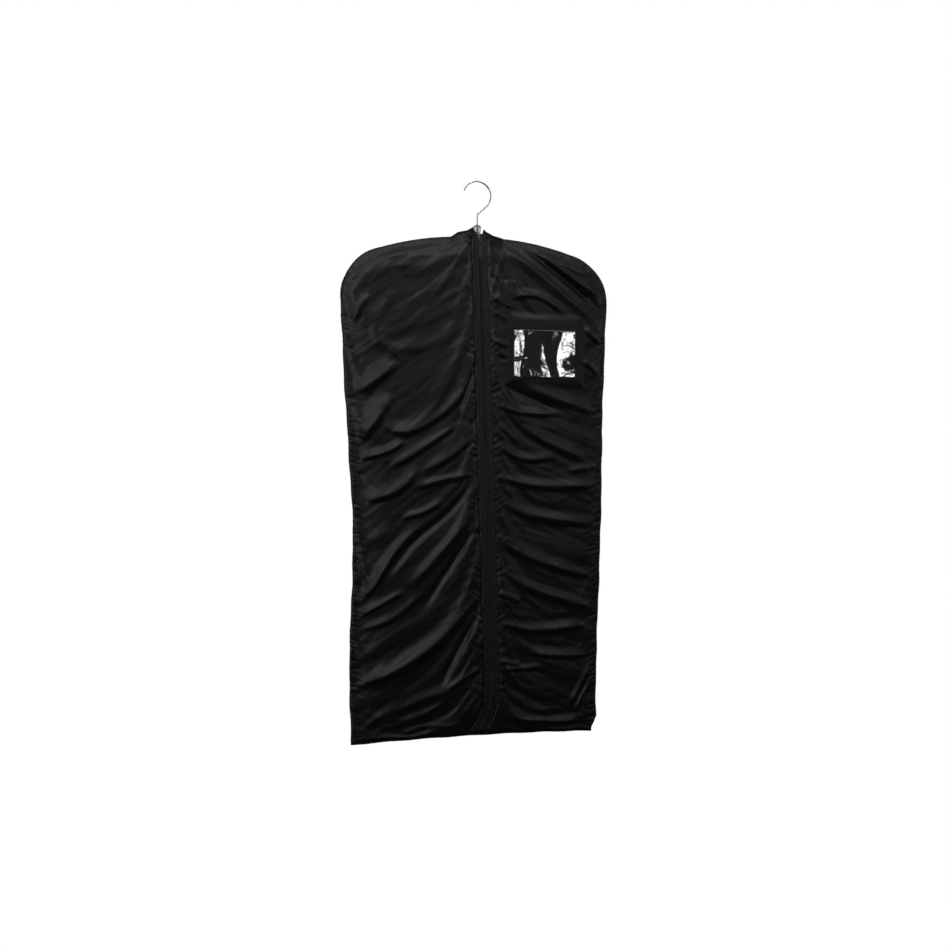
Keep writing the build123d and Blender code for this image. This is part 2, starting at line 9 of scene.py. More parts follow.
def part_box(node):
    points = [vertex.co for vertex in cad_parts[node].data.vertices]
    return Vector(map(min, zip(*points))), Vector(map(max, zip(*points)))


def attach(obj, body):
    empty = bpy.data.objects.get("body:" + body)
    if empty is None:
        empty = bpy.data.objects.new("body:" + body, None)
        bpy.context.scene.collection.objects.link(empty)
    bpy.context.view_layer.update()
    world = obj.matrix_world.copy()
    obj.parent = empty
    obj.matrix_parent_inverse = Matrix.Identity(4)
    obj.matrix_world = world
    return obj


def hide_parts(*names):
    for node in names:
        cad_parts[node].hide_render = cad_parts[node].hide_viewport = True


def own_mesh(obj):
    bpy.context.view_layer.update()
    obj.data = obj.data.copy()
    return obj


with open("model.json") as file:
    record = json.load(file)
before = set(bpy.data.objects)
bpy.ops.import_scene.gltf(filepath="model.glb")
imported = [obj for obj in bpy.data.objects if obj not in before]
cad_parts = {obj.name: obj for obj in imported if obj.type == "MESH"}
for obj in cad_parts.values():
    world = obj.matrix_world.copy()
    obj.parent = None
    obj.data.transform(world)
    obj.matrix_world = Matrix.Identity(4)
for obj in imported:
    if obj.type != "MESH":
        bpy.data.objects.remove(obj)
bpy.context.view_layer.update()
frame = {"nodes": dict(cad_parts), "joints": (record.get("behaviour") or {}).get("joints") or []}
nodes = frame["nodes"]

# Lengths are in metres. "Drop" is measured down from the zipper's top end, "across" from its
# middle line, and "run" along it. The front of the bag faces -Y.

# ---------------------------------------------------------------- sizes taken from the frame
panel_low, panel_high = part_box("back_panel")
tape_low, tape_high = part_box("zipper_tape_left")
window_low, window_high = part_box("card_window")
backing_low, backing_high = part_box("card_backing")
slide_axis = next(j["axis"] for j in frame["joints"] if j["name"] == "slider_travel")

TOP_Z = tape_high.z
HEM_Z = panel_low.z
BAG_H = TOP_Z - HEM_Z
HALF_W = panel_high.x
FRONT_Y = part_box("front_panel_right")[0].y
BACK_Y = panel_high.y
LEAN = math.atan2(slide_axis[0], -slide_axis[2])

# ---------------------------------------------------------------- the bag's own proportions
SHOULDER_START = 0.060
SHOULDER_END = (HALF_W - 0.087, 0.029)
SHOULDER_MID = ((SHOULDER_START + SHOULDER_END[0]) / 2, 0.0095)
CORNER_MID = (HALF_W - 0.024, 0.067)
CORNER_END = (HALF_W, 0.150)
WAIST = (HALF_W - 0.017, (0.150 + BAG_H) / 2)
HEM_CORNER = (HALF_W - 0.026, BAG_H)
COLLAR = {"left": [(0.060, 0.0), (0.047, -0.009), (0.027, -0.013), (0.0145, -0.0205)],
          "right": [(0.060, 0.0), (0.033, -0.003), (0.015, -0.011), (0.0095, -0.0165)]}
NOTCH_FOOT = 0.0048

TAPE_HALF = 0.0155
TAPE_LAP = 0.005
STRAIGHT = BAG_H - 0.108
CURL_R = 0.150
CURL_END = math.radians(-27.0)
CURL_RUN = CURL_R * (LEAN - CURL_END)


# ---------------------------------------------------------------- camera, light and room
def add_camera():
    """The camera stands a little to the bag's left, at its middle height, and looks just below level."""
    azimuth, tilt, distance = math.radians(-16.0), math.radians(-1.05), 2.95
    aim = Vector((-0.0048, 0.0, TOP_Z - 0.466))
    back = Vector((math.sin(azimuth), -math.cos(azimuth), 0.0))
    data = bpy.data.cameras.new("camera")
    data.lens, data.sensor_width = 50.8, 36.0
    data.clip_end = 60.0
    camera = bpy.data.objects.new("camera", data)
    bpy.context.scene.collection.objects.link(camera)
    camera.location = aim + back * distance
    camera.rotation_euler = (math.pi / 2 + tilt, 0.0, azimuth)
    bpy.context.scene.camera = camera


def add_softbox(name, azimuth, elevation, distance, size, power):
    """A flat studio light that faces the bag's middle."""
    a, e = math.radians(azimuth), math.radians(elevation)
    aim = Vector((0.0, 0.0, (TOP_Z + HEM_Z) / 2))
    back = Vector((math.sin(a) * math.cos(e), -math.cos(a) * math.cos(e), math.sin(e)))
    data = bpy.data.lights.new(name, "AREA")
    data.shape = "RECTANGLE"
    data.size, data.size_y = size
    data.energy = power
    lamp = bpy.data.objects.new(name, data)
    bpy.context.scene.collection.objects.link(lamp)
    lamp.location = aim + back * distance
    lamp.rotation_mode = "QUATERNION"
    lamp.rotation_quaternion = back.to_track_quat("Z", "Y")


def add_room():
    """Pale floor and a pale surround. What the bag mirrors is a dim room with a few softboxes."""
    scene = bpy.context.scene
    scene.view_settings.view_transform = "Standard"
    world = bpy.data.worlds.new("surround")
    scene.world = world
    world.use_nodes = True
    tree = world.node_tree
    tree.nodes.clear()
    out = tree.nodes.new("ShaderNodeOutputWorld")
    mix = tree.nodes.new("ShaderNodeMixShader")
    seen = tree.nodes.new("ShaderNodeBackground")
    lit = tree.nodes.new("ShaderNodeBackground")
    path = tree.nodes.new("ShaderNodeLightPath")
    seen.inputs["Color"].default_value = (1.0, 1.0, 1.0, 1.0)
    lit.inputs["Color"].default_value = (0.95, 0.97, 1.0, 1.0)
    place = tree.nodes.new("ShaderNodeTexCoord")
    split = tree.nodes.new("ShaderNodeSeparateXYZ")
    ceiling = tree.nodes.new("ShaderNodeMapRange")
    ceiling.inputs["From Min"].default_value = 0.55
    ceiling.inputs["From Max"].default_value = 1.0
    ceiling.inputs["To Min"].default_value = 0.025
    ceiling.inputs["To Max"].default_value = 0.5
    behind = tree.nodes.new("ShaderNodeMapRange")
    behind.inputs["From Min"].default_value = 0.25
    behind.inputs["From Max"].default_value = 0.6
    behind.inputs["To Max"].default_value = 1.3
    both = tree.nodes.new("ShaderNodeMath")
    tree.links.new(place.outputs["Generated"], split.inputs["Vector"])
    tree.links.new(split.outputs["Z"], ceiling.inputs["Value"])
    tree.links.new(split.outputs["Y"], behind.inputs["Value"])
    tree.links.new(ceiling.outputs["Result"], both.inputs[0])
    tree.links.new(behind.outputs["Result"], both.inputs[1])
    tree.links.new(both.outputs["Value"], lit.inputs["Strength"])
    tree.links.new(path.outputs["Is Camera Ray"], mix.inputs["Fac"])
    tree.links.new(lit.outputs["Background"], mix.inputs[1])
    tree.links.new(seen.outputs["Background"], mix.inputs[2])
    tree.links.new(mix.outputs["Shader"], out.inputs["Surface"])

    bm = bmesh.new()
    bmesh.ops.create_circle(bm, cap_ends=True, segments=96, radius=7.0)
    bmesh.ops.translate(bm, verts=bm.verts, vec=(0.0, 0.0, HEM_Z - 0.42))
    floor = add_object("floor", bm)
    paint = bpy.data.materials.new("floor_paint")
    paint.use_nodes = True
    tree = paint.node_tree
    tree.nodes.clear()
    out = tree.nodes.new("ShaderNodeOutputMaterial")
    mix = tree.nodes.new("ShaderNodeMixShader")
    glow = tree.nodes.new("ShaderNodeEmission")
    matt = tree.nodes.new("ShaderNodeBsdfDiffuse")
    path = tree.nodes.new("ShaderNodeLightPath")
    glow.inputs["Color"].default_value = (1.0, 1.0, 1.0, 1.0)
    matt.inputs["Color"].default_value = (0.03, 0.03, 0.03, 1.0)
    tree.links.new(path.outputs["Is Camera Ray"], mix.inputs["Fac"])
    tree.links.new(matt.outputs["BSDF"], mix.inputs[1])
    tree.links.new(glow.outputs["Emission"], mix.inputs[2])
    tree.links.new(mix.outputs["Shader"], out.inputs["Surface"])
    floor.data.materials.append(paint)

    add_softbox("overhead_front", 4, 46, 2.8, (2.6, 0.9), 16)
    add_softbox("left_strip", -38, 12, 2.8, (0.9, 2.0), 13)
    add_softbox("right_window", 21.5, 9.2, 3.2, (0.36, 0.36), 2.6)
    add_softbox("right_edge", 74, 10, 2.8, (0.5, 1.8), 4)
    add_softbox("back_left", 150, 25, 3.0, (1.2, 1.6), 8)
    add_softbox("back_right", 215, 20, 3.0, (1.0, 1.6), 6)


# ---------------------------------------------------------------- helpers for pieces
def add_object(name, bm, smooth=True):
    mesh = bpy.data.meshes.new(name)
    bm.to_mesh(mesh)
    bm.free()
    obj = bpy.data.objects.new(name, mesh)
    bpy.context.scene.collection.objects.link(obj)
    if smooth:
        for face in mesh.polygons:
            face.use_smooth = True
    return obj


def thicken(obj, thickness, offset=-1.0):
    solid = obj.modifiers.new("thickness", "SOLIDIFY")
    solid.thickness = thickness
    solid.offset = offset


def smooth_step(t):
    t = np.clip(t, 0.0, 1.0)
    return t * t * (3.0 - 2.0 * t)


def arc(a, b, c, count):
    """Points on the circular arc from a through b to c, without its last point."""
    ax, ay, bx, by, cx, cy = *a, *b, *c
    d = 2 * (ax * (by - cy) + bx * (cy - ay) + cx * (ay - by))
    ux = ((ax**2 + ay**2) * (by - cy) + (bx**2 + by**2) * (cy - ay) + (cx**2 + cy**2) * (ay - by)) / d
    uy = ((ax**2 + ay**2) * (cx - bx) + (bx**2 + by**2) * (ax - cx) + (cx**2 + cy**2) * (bx - ax)) / d
    radius = math.hypot(ax - ux, ay - uy)
    start, end = math.atan2(ay - uy, ax - ux), math.atan2(cy - uy, cx - ux)
    turn = (end - start + math.pi) % (2 * math.pi) - math.pi
    angles = [start + turn * i / count for i in range(count)]
    return [(ux + radius * math.cos(angle), uy + radius * math.sin(angle)) for angle in angles]


def resample(points, t):
    """Points at shares t of the length of a polyline, as an array."""
    p = np.asarray(points, float)
    steps = np.hypot(*np.diff(p, axis=0).T)
    along = np.concatenate([[0.0], np.cumsum(steps)])
    t = np.asarray(t, float) * along[-1]
    return np.stack([np.interp(t, along, p[:, k]) for k in range(p.shape[1])], axis=-1)


def zip_place(run, across):
    """x and drop of points along and across the zipper, through its straight run and its curl."""
    run, across = np.broadcast_arrays(np.asarray(run, float), np.asarray(across, float))
    centre_x = STRAIGHT * math.sin(LEAN) - CURL_R * math.cos(LEAN)
    centre_d = STRAIGHT * math.cos(LEAN) + CURL_R * math.sin(LEAN)
    angle = np.clip(LEAN - (run - STRAIGHT) / CURL_R, CURL_END, LEAN)
    past = np.maximum(run - STRAIGHT - CURL_RUN, 0.0)
    x = centre_x + (CURL_R + across) * np.cos(angle) + past * np.sin(angle)
    d = centre_d - (CURL_R + across) * np.sin(angle) + past * np.cos(angle)
    straight = run <= STRAIGHT
    x = np.where(straight, run * math.sin(LEAN) + across * math.cos(LEAN), x)
    d = np.where(straight, run * math.cos(LEAN) - across * math.sin(LEAN), d)
    return x, d


def run_at_drop(across, drop):
    """Length along the zipper at which a line beside it reaches a drop, in or under the curl."""
    runs = np.linspace(STRAIGHT, BAG_H + 0.06, 400)
    return float(np.interp(drop, zip_place(runs, across)[1], runs))


SEAM = [*arc((SHOULDER_START, 0.0), SHOULDER_MID, SHOULDER_END, 16),
        *arc(SHOULDER_END, CORNER_MID, CORNER_END, 24),
        *arc(CORNER_END, WAIST, HEM_CORNER, 60), HEM_CORNER]
CORNER_SPLIT = 28  # index in SEAM where the top edge becomes the side


# how far the sewn sides hang out of their even line: (drop, outward)
LEFT_HANG = [(0.0, 0.0), (0.30, 0.0), (0.42, -0.003), (0.63, -0.009), (0.76, -0.003), (0.90, 0.006),
             (1.10, 0.007)]
RIGHT_HANG = [(0.0, 0.0), (0.40, 0.001), (0.56, 0.005), (0.72, 0.005), (0.90, 0.002), (1.06, 0.001),
              (1.085, -0.011)]


def hang(x, d):
    """Moves front-view points from the even outline to how the bag hangs: soft sides, hem low at its ends."""
    side = smooth_step((np.abs(x) - 0.10) / 0.18)
    left, right = np.array(LEFT_HANG).T, np.array(RIGHT_HANG).T
    outward = np.where(x < 0, np.interp(d, left[0], left[1]), np.interp(d, right[0], right[1]))
    outward = outward + 0.0011 * np.sin(d * 61.0 + np.where(x < 0, 0.0, 2.0)) * np.sin(d * 23.0)
    dip = 0.0055 * (np.abs(x) / 0.276) ** 2 + 0.0006 * np.sin(x * 70.0)
    low = np.clip((d - 0.9) / 0.19, 0.0, 1.0) * dip
    return x + np.sign(x) * side * outward, d + low


def hung(x, y, d):
    """Places in the bag's frame of sewn pieces as they hang; the hem swings a little forward."""
    x, d = hang(x, d)
    return np.stack([x, y - 0.007 * smooth_step((d - STRAIGHT) / (BAG_H - STRAIGHT)), TOP_Z - d], 1)


def seam_distance(x, d):
    """Distance of front-view points from the sewn edge along the shoulders and sides."""
    edge = resample(SEAM, np.linspace(0, 1, 360))
    best = np.full(x.shape, 9.0)
    for ex, ed in edge:
        best = np.minimum(best, (np.abs(x) - ex) ** 2 + (d - ed) ** 2)
    return np.sqrt(best)


# ---------------------------------------------------------------- folds
# A fold is a crest on a smooth line: (points as (x, drop), height, reach up-left of it, reach down-right).
# Negative heights are valleys. All given one by one, as such cloth gathers between a short zipper and long
# sides.
LEFT_FOLDS = [
    ([(-20, 30), (-90, 52), (-165, 95)], 3.5, 28, 20),
    ([(-20, 62), (-90, 105), (-175, 150)], 3, 30, 24),
    ([(-16, 100), (-70, 132), (-130, 175)], 1.5, 18, 14),
    ([(-18, 140), (-75, 165), (-185, 205)], 2.5, 24, 20),
    ([(-14, 168), (-72, 218), (-155, 252), (-225, 230)], 3, 30, 20),
    ([(-188, 112), (-212, 156), (-238, 200), (-222, 238), (-155, 276)], 3.5, 24, 18),
    ([(-60, 15), (-150, 28), (-215, 48)], 2.5, 12, 14),
    ([(-150, 62), (-205, 70), (-240, 100)], 2, 18, 16),
    ([(-245, 130), (-268, 160), (-284, 200)], 4, 14, 14),
    ([(-13, 208), (-55, 270), (-122, 365)], 3.5, 32, 24),
    ([(-12, 298), (-62, 373), (-133, 418), (-183, 430), (-226, 406)], 8, 30, 12),
    ([(-13, 290), (-29, 340), (-46, 378)], -6, 10, 10),
    ([(-183, 271), (-224, 312), (-275, 344)], 7, 34, 15),
    ([(-196, 344), (-230, 402), (-272, 445)], 8, 38, 15),
    ([(-169, 444), (-205, 467), (-268, 484)], 7, 18, 9),
    ([(-136, 497), (-176, 552), (-260, 575)], 8, 32, 13),
    ([(-47, 405), (-133, 463), (-202, 504)], 8, 24, 11),
    ([(-8, 434), (-72, 483), (-130, 512)], 7, 24, 12),
    ([(-6, 516), (-87, 528), (-150, 546)], 6, 16, 12),
    ([(-80, 569), (-122, 599), (-178, 610)], 5, 16, 10),
    ([(-129, 621), (-192, 683), (-226, 739), (-268, 802)], 8, 26, 9),
    ([(-8, 535), (-72, 604), (-155, 664), (-222, 755)], -7, 16, 14),
    ([(-8, 592), (-88, 685), (-160, 762)], 7, 20, 16),
    ([(-8, 642), (-62, 710), (-130, 815)], -6, 14, 12),
    ([(-168, 769), (-216, 792), (-270, 826)], 5, 16, 10),
    ([(-129, 770), (-176, 822), (-266, 855)], 4, 18, 12),
    ([(2, 778), (-50, 841), (-134, 916), (-274, 978)], 11, 34, 18),
    ([(0, 827), (-50, 900), (-88, 980)], -6, 14, 12),
    ([(8, 942), (-38, 965), (-80, 988)], 6, 16, 10),
    ([(-28, 977), (-155, 1012), (-266, 1062)], 5, 22, 18),
    ([(-60, 1010), (-150, 1045), (-230, 1072)], 3, 14, 10),
    ([(-172, 1082), (-138, 1060), (-28, 1066)], 4, 10, 10),
]
RIGHT_FOLDS = [
    ([(105, 16), (190, 73), (287, 150)], -9, 13, 13),
    ([(127, 14), (211, 82), (296, 124)], 6, 14, 16),
    ([(50, 14), (136, 71), (215, 135), (296, 192)], 7, 15, 20),
    ([(150, 24), (215, 60), (262, 78)], 4, 10, 9),
    ([(71, 131), (123, 117), (167, 137), (200, 162)], 6, 20, 9),
    ([(58, 29), (40, 79), (22, 121)], 4, 14, 12),
    ([(19, 88), (75, 90)], -3, 8, 7),
    ([(19, 129), (84, 152)], 5, 12, 8),
    ([(19, 160), (70, 178)], 3, 10, 8),
    ([(22, 222), (72, 236)], 4, 10, 9),
    ([(24, 258), (74, 268)], -3, 9, 8),
    ([(245, 190), (270, 214), (292, 226)], 5, 12, 9),
    ([(240, 262), (266, 280), (288, 300)], 5, 14, 10),
    ([(97, 318), (167, 348), (283, 382)], 6, 24, 15),
    ([(30, 318), (101, 338), (190, 378)], -6, 14, 14),
    ([(30, 366), (101, 382), (192, 384)], 7, 18, 9),
    ([(97, 409), (167, 454), (250, 484)], 7, 24, 16),
    ([(32, 452), (101, 488), (178, 479)], 6, 20, 10),
    ([(34, 400), (70, 432), (96, 446)], 4, 10, 8),
    ([(200, 512), (246, 506), (284, 500)], 4, 14, 10),
    ([(36, 522), (145, 548), (284, 542)], 7, 22, 13),
    ([(36, 574), (101, 606), (211, 624), (284, 634)], 7, 22, 15),
    ([(36, 655), (101, 698), (198, 732), (274, 750)], 6.5, 20, 16),
    ([(36, 720), (101, 765), (189, 797), (276, 824)], 7, 22, 15),
    ([(40, 779), (97, 798)], 5, 14, 9),
    ([(44, 845), (123, 866), (252, 856)], 8, 22, 14),
    ([(40, 930), (97, 938)], 4, 12, 8),
    ([(112, 914), (189, 924), (258, 926)], 7, 22, 8),
    ([(45, 948), (150, 946)], 5, 14, 8),
    ([(34, 1052), (167, 1068), (268, 1070)], 7, 20, 9),
    ([(270, 937), (243, 980), (211, 1036)], 5, 12, 12),
    ([(262, 985), (240, 1020), (226, 1050)], 4, 8, 9),
]
BACK_FOLDS = [
    ([(-150, 25), (-60, 110), (-20, 250)], 6, 20, 26),
    ([(150, 30), (70, 120), (10, 240)], 6, 26, 20),
    ([(-250, 130), (-120, 260), (30, 330)], 7, 24, 20),
    ([(250, 120), (150, 240), (60, 400)], 7, 26, 22),
    ([(-270, 330), (-130, 410), (80, 420)], 8, 26, 18),
    ([(272, 380), (140, 460), (-60, 520)], 8, 26, 20),
    ([(-268, 520), (-110, 600), (120, 610)], 8, 28, 18),
    ([(268, 600), (120, 690), (-90, 720)], 8, 28, 20),
    ([(-262, 740), (-100, 800), (110, 790)], 7, 24, 18),
    ([(262, 820), (90, 880), (-130, 900)], 8, 26, 18),
    ([(-258, 930), (-60, 980), (140, 960)], 6, 22, 16),
    ([(-230, 1050), (0, 1040), (230, 1056)], 6, 18, 10),
]


def smooth_line(points, count=40):
    """A smooth curve through a few points, by repeated corner cutting."""
    p = np.asarray(points, float) / 1000.0
    for _ in range(4):
        quarter = 0.75 * p[:-1] + 0.25 * p[1:]
        three = 0.25 * p[:-1] + 0.75 * p[1:]
        p = np.concatenate([p[:1], np.stack([quarter, three], 1).reshape(-1, 2), p[-1:]])
    return resample(p, np.linspace(0, 1, count))


def fold_height(x, d, folds):
    """Summed height of the folds at front-view points."""
    total = np.zeros(x.shape)
    for points, height, before, after in folds:
        line = smooth_line(points)
        best = np.full(x.shape, 9.0)
        side = np.zeros(x.shape)
        share = np.zeros(x.shape)
        direction = np.gradient(line, axis=0)
        for i, (lx, ld) in enumerate(line):
            dx, dd = x - lx, d - ld
            far = dx * dx + dd * dd
            nearer = far < best
            tx, td = direction[i] / np.hypot(*direction[i])
            across = dx * td - dd * tx
            if tx < 0:
                across = -across
            best = np.where(nearer, far, best)
            side = np.where(nearer, across, side)
            share = np.where(nearer, i / (len(line) - 1), share)
        reach = np.where(side > 0, before, after) / 1000.0
        t = np.sqrt(best) / reach
        profile = np.where(t < 1, (1 - t) ** 2 * (1 + 1.2 * t), 0.0)
        taper = np.clip(np.sin(np.pi * np.clip(share, 0.0, 1.0)) * 1.6, 0, 1)
        total += height / 1000.0 * profile * taper
    return total


def ripple(x, d, slope, wave, length, seed):
    """Soft uneven ripples that run along a slope, as an array of -1 to 1."""
    turn = math.atan(slope)
    along = x * math.cos(turn) + d * math.sin(turn)
    over = -x * math.sin(turn) + d * math.cos(turn)
    flat = [noise.noise(Vector((a / length, o / wave, seed))) for a, o in zip(along.ravel(), over.ravel())]
    return np.array(flat).reshape(x.shape)


def gathers(distance, place, seed, wave=0.0075, reach=0.016):
    """Small sharp puckers at a seam, across it: place is the distance along the seam."""
    pairs = zip(place.ravel(), distance.ravel())
    flat = [noise.noise(Vector((p / wave, q / 0.05, seed))) for p, q in pairs]
    wide = [noise.noise(Vector((p / (4 * wave), 3.0, seed))) for p in place.ravel()]
    sharp = 1.0 - 2.2 * np.abs(np.array(flat).reshape(distance.shape))
    length = reach * (1.0 + 0.9 * np.array(wide).reshape(distance.shape))
    return sharp * np.exp(-distance / length)


# ---------------------------------------------------------------- cloth panels
def half_edges(side):
    """The four edges of one front panel as polylines in (x, drop): zipper, top, side seam and hem."""
    sign = 1.0 if side == "right" else -1.0
    inner = sign * (TAPE_HALF - TAPE_LAP)
    hem_run = run_at_drop(inner, BAG_H)
    zx, zd = zip_place(np.linspace(0.002, hem_run, 300), inner)
    collar = [(sign * x, d) for x, d in reversed(COLLAR[side])]
    zipper = np.concatenate([[collar[0], (sign * NOTCH_FOOT, 0.0)], np.stack([zx, zd], 1)])
    top = [*collar, *[(sign * x, d) for x, d in SEAM[1:CORNER_SPLIT + 1]]]
    seam = [(sign * x, d) for x, d in SEAM[CORNER_SPLIT:]]
    hem = [tuple(zipper[-1]), (sign * HEM_CORNER[0], BAG_H)]
    return zipper, top, seam, hem


def spread(t, pinch):
    """Shares from 0 to 1 that crowd towards both ends."""
    return t - pinch * np.sin(2 * np.pi * t) / (2 * np.pi)


def coons(u, v, left, top, right, bottom):
    """Points of a patch spanned by its four edges."""
    l, r, t, b = resample(left, v), resample(right, v), resample(top, u), resample(bottom, u)
    u, v = u[:, None], v[:, None]
    corners = (1 - u) * (1 - v) * t_at(top, 0) + u * (1 - v) * t_at(top, 1) + (1 - u) * v * t_at(bottom, 0)
    corners = corners + u * v * t_at(bottom, 1)
    return (1 - u) * l + u * r + (1 - v) * t + v * b - corners


def t_at(points, end):
    return np.asarray(points[0] if end == 0 else points[-1], float)


def hem_press(d):
    """Below the slider's lowest place the bag thins towards its hem, and the hem itself is pressed flat."""
    thinning = 1.0 - 0.66 * smooth_step((d - STRAIGHT) / (BAG_H - 0.010 - STRAIGHT))
    return thinning * smooth_step(0.20 + (BAG_H - d) / 0.014)


def seam_rise(distance, depth, x, d):
    """How far the cloth stands off the seam's plane; the width of the slope varies along the seam."""
    uneven = np.array([noise.noise(Vector((a * 2.0, b / 0.045, 31.0))) for a, b in zip(x, d)])
    ramp = (0.042 + 0.050 * smooth_step((d - 0.16) / 0.16)) * (1.0 + 0.45 * uneven)
    return depth * np.sin(np.clip(distance / ramp, 0, 1) * np.pi / 2) ** 0.85


def set_places(bm, places):
    for vert, place in zip(bm.verts, places):
        vert.co = place


def face_towards(bm, direction):
    """Turns a sheet's faces so that most of them look in a direction."""
    bm.normal_update()
    if sum(face.normal.dot(direction) * face.calc_area() for face in bm.faces) < 0:
        bmesh.ops.reverse_faces(bm, faces=bm.faces)


def strip(name, columns, rows, place_of, direction=(0.0, -1.0, 0.0)):
    """A sheet from a grid: place_of gives places for shares across and along."""
    bm = bmesh.new()
    bmesh.ops.create_grid(bm, x_segments=columns, y_segments=rows, size=0.5)
    flat = np.array([v.co[:] for v in bm.verts])
    set_places(bm, place_of(flat[:, 0] + 0.5, 0.5 - flat[:, 1]))
    face_towards(bm, Vector(direction))
    return add_object(name, bm)


def front_rise(x, d):
    """How far the front cloth stands forward of the seam, without its folds."""
    return seam_rise(seam_distance(x, d), -FRONT_Y - 0.0004, x, d) * hem_press(d)


# ---------------------------------------------------------------- hook
WIRE_R = 0.002
LOOP_R = 0.031
LOOP_TIP, LOOP_HEEL = math.radians(163.0), math.radians(-48.0)
BEND_R = 0.010
SHANK_FOOT = -0.1135


def hook_line():
    """Centre line of the hook wire, from its tip round the loop and down the shank: x and z."""
    loop_z = WIRE_R - LOOP_R
    loop = [(LOOP_R * math.cos(a), loop_z + LOOP_R * math.sin(a))
            for a in np.linspace(LOOP_TIP, LOOP_HEEL, 120)]
    way = (math.sin(LOOP_HEEL), -math.cos(LOOP_HEEL))
    bend_dx = BEND_R * (1 - math.cos(LOOP_HEEL))
    run = (loop[-1][0] - bend_dx) / -way[0]
    bend_z = loop[-1][1] + run * way[1]
    middle = (BEND_R, bend_z + BEND_R * math.sin(LOOP_HEEL))
    bend = [(middle[0] - BEND_R * math.cos(a), middle[1] - BEND_R * math.sin(a))
            for a in np.linspace(LOOP_HEEL, 0, 24)]
    return np.array([*loop, *bend, (0.0, SHANK_FOOT)])


def bent_wire():
    """The hook's wire: one round bar with a rounded tip."""
    rows, sides = 260, 20
    line, way = edge_line(hook_line(), rows + 1)
    step = np.linalg.norm(np.diff(line, axis=0), axis=1).mean()
    bm = bmesh.new()
    bmesh.ops.create_grid(bm, x_segments=sides, y_segments=rows, size=0.5)
    u, v = grid_shares(bm)
    k = np.rint(v * rows).astype(int)
    from_tip = np.clip(k * step / WIRE_R, 0.0, 1.0)
    radius = WIRE_R * np.maximum(np.sqrt(1.0 - (1.0 - from_tip) ** 2), 0.02)
    side = np.stack([-way[k, 1], way[k, 0]], 1) * (radius * np.cos(2 * np.pi * u))[:, None]
    depth = radius * np.sin(2 * np.pi * u)
    set_places(bm, np.stack([line[k, 0] + side[:, 0], depth, line[k, 1] + side[:, 1]], 1))
    bmesh.ops.remove_doubles(bm, verts=bm.verts, dist=1e-6)
    bmesh.ops.holes_fill(bm, edges=[edge for edge in bm.edges if edge.is_boundary], sides=0)
    bmesh.ops.recalc_face_normals(bm, faces=bm.faces)
    return add_object("hook_wire", bm)


# ---------------------------------------------------------------- zipper
TAPE_INNER = 0.0012
COIL_STITCH_ACROSS = 0.0021
TAPE_STITCH_ACROSS = 0.0128
HEM_STOP = BAG_H - 0.0062


def zipper_tape(side):
    """Woven tape from its outer edge to under the coil, with a flat rib along each edge."""
    sign = 1.0 if side == "right" else -1.0

    def places(u, v):
        across = sign * (TAPE_INNER + u * (TAPE_HALF - TAPE_INNER))
        ends = [run_at_drop(sign * edge, HEM_STOP) for edge in (TAPE_INNER, TAPE_HALF)]
        last = np.interp(u, [0.0, 1.0], ends)
        x, d = zip_place(v * last, across)
        lift = 0.0011 + 0.0003 * np.cos(u * 2 * np.pi) + 0.0004 * np.sin(v * 260.0 + 4.0 * u) * u**2
        y = -(front_rise(x, d) + lift)
        return hung(x, y, d)

    return strip(f"tape_{side}", 14, 420, places)


def add_bar(bm, start, end, radius, sides=6, end_radius=None):
    """A short round bar between two places."""
    way = end - start
    turn = way.to_track_quat("Z", "Y").to_matrix().to_4x4()
    turn.translation = (start + end) / 2
    bmesh.ops.create_cone(bm, cap_ends=True, segments=sides, radius1=radius, radius2=end_radius or radius,
                          depth=way.length, matrix=turn)


def add_knob(bm, place, radius):
    matrix = Vector(place)
    ball = bmesh.ops.create_icosphere(bm, subdivisions=1, radius=radius)
    bmesh.ops.translate(bm, verts=ball["verts"], vec=matrix)


def zipper_coil(name, side, first, last, pitch=0.0015):
    """Nylon coil: one loop for each tooth, its head reaching past the middle between its neighbours'."""
    sign = 1.0 if side == "right" else -1.0
    offset = 0.0 if side == "right" else pitch / 2
    bm = bmesh.new()
    count = int((last - first - offset) / pitch)
    runs = first + offset + pitch * np.arange(count)
    heads = coil_places(runs, -sign * 0.0003, 0.0019)
    crowns = coil_places(runs, sign * 0.0012, 0.0022)
    heels = coil_places(runs + 0.0002, sign * 0.0030, 0.0017)
    for head, crown, heel in zip(heads, crowns, heels):
        add_bar(bm, head, crown, 0.00048, 5)
        add_bar(bm, crown, heel, 0.00042, 5)
        add_knob(bm, head, 0.00062)
    return add_object(name, bm)


def coil_places(runs, across, forward):
    x, d = zip_place(runs, across)
    return [Vector(p) for p in hung(x, -(front_rise(x, d) + forward), d)]


def stitches(name, places, length=0.0021, radius=0.00022):
    """Short threads that lie along a line of places."""
    p = np.asarray(places, float)
    along = np.concatenate([[0.0], np.cumsum(np.linalg.norm(np.diff(p, axis=0), axis=1))])
    step = length * 1.35
    starts = np.arange(0.0, along[-1] - length, step)
    bm = bmesh.new()
    for start in starts:
        a = Vector([np.interp(start, along, p[:, k]) for k in range(3)])
        b = Vector([np.interp(start + length, along, p[:, k]) for k in range(3)])
        add_bar(bm, a, b, radius, 5)
    return add_object(name, bm)


def tape_stitches(name, across, first, last, forward=0.0016):
    runs = np.linspace(first, last, 500)
    return stitches(name, coil_places(runs, across, forward))


# ---------------------------------------------------------------- bindings and hems
U_SECTION = [(0.0056, 0.0013), (0.0036, 0.0016), (0.0014, 0.0015), (-0.0002, 0.0011), (-0.0007, 0.0)]


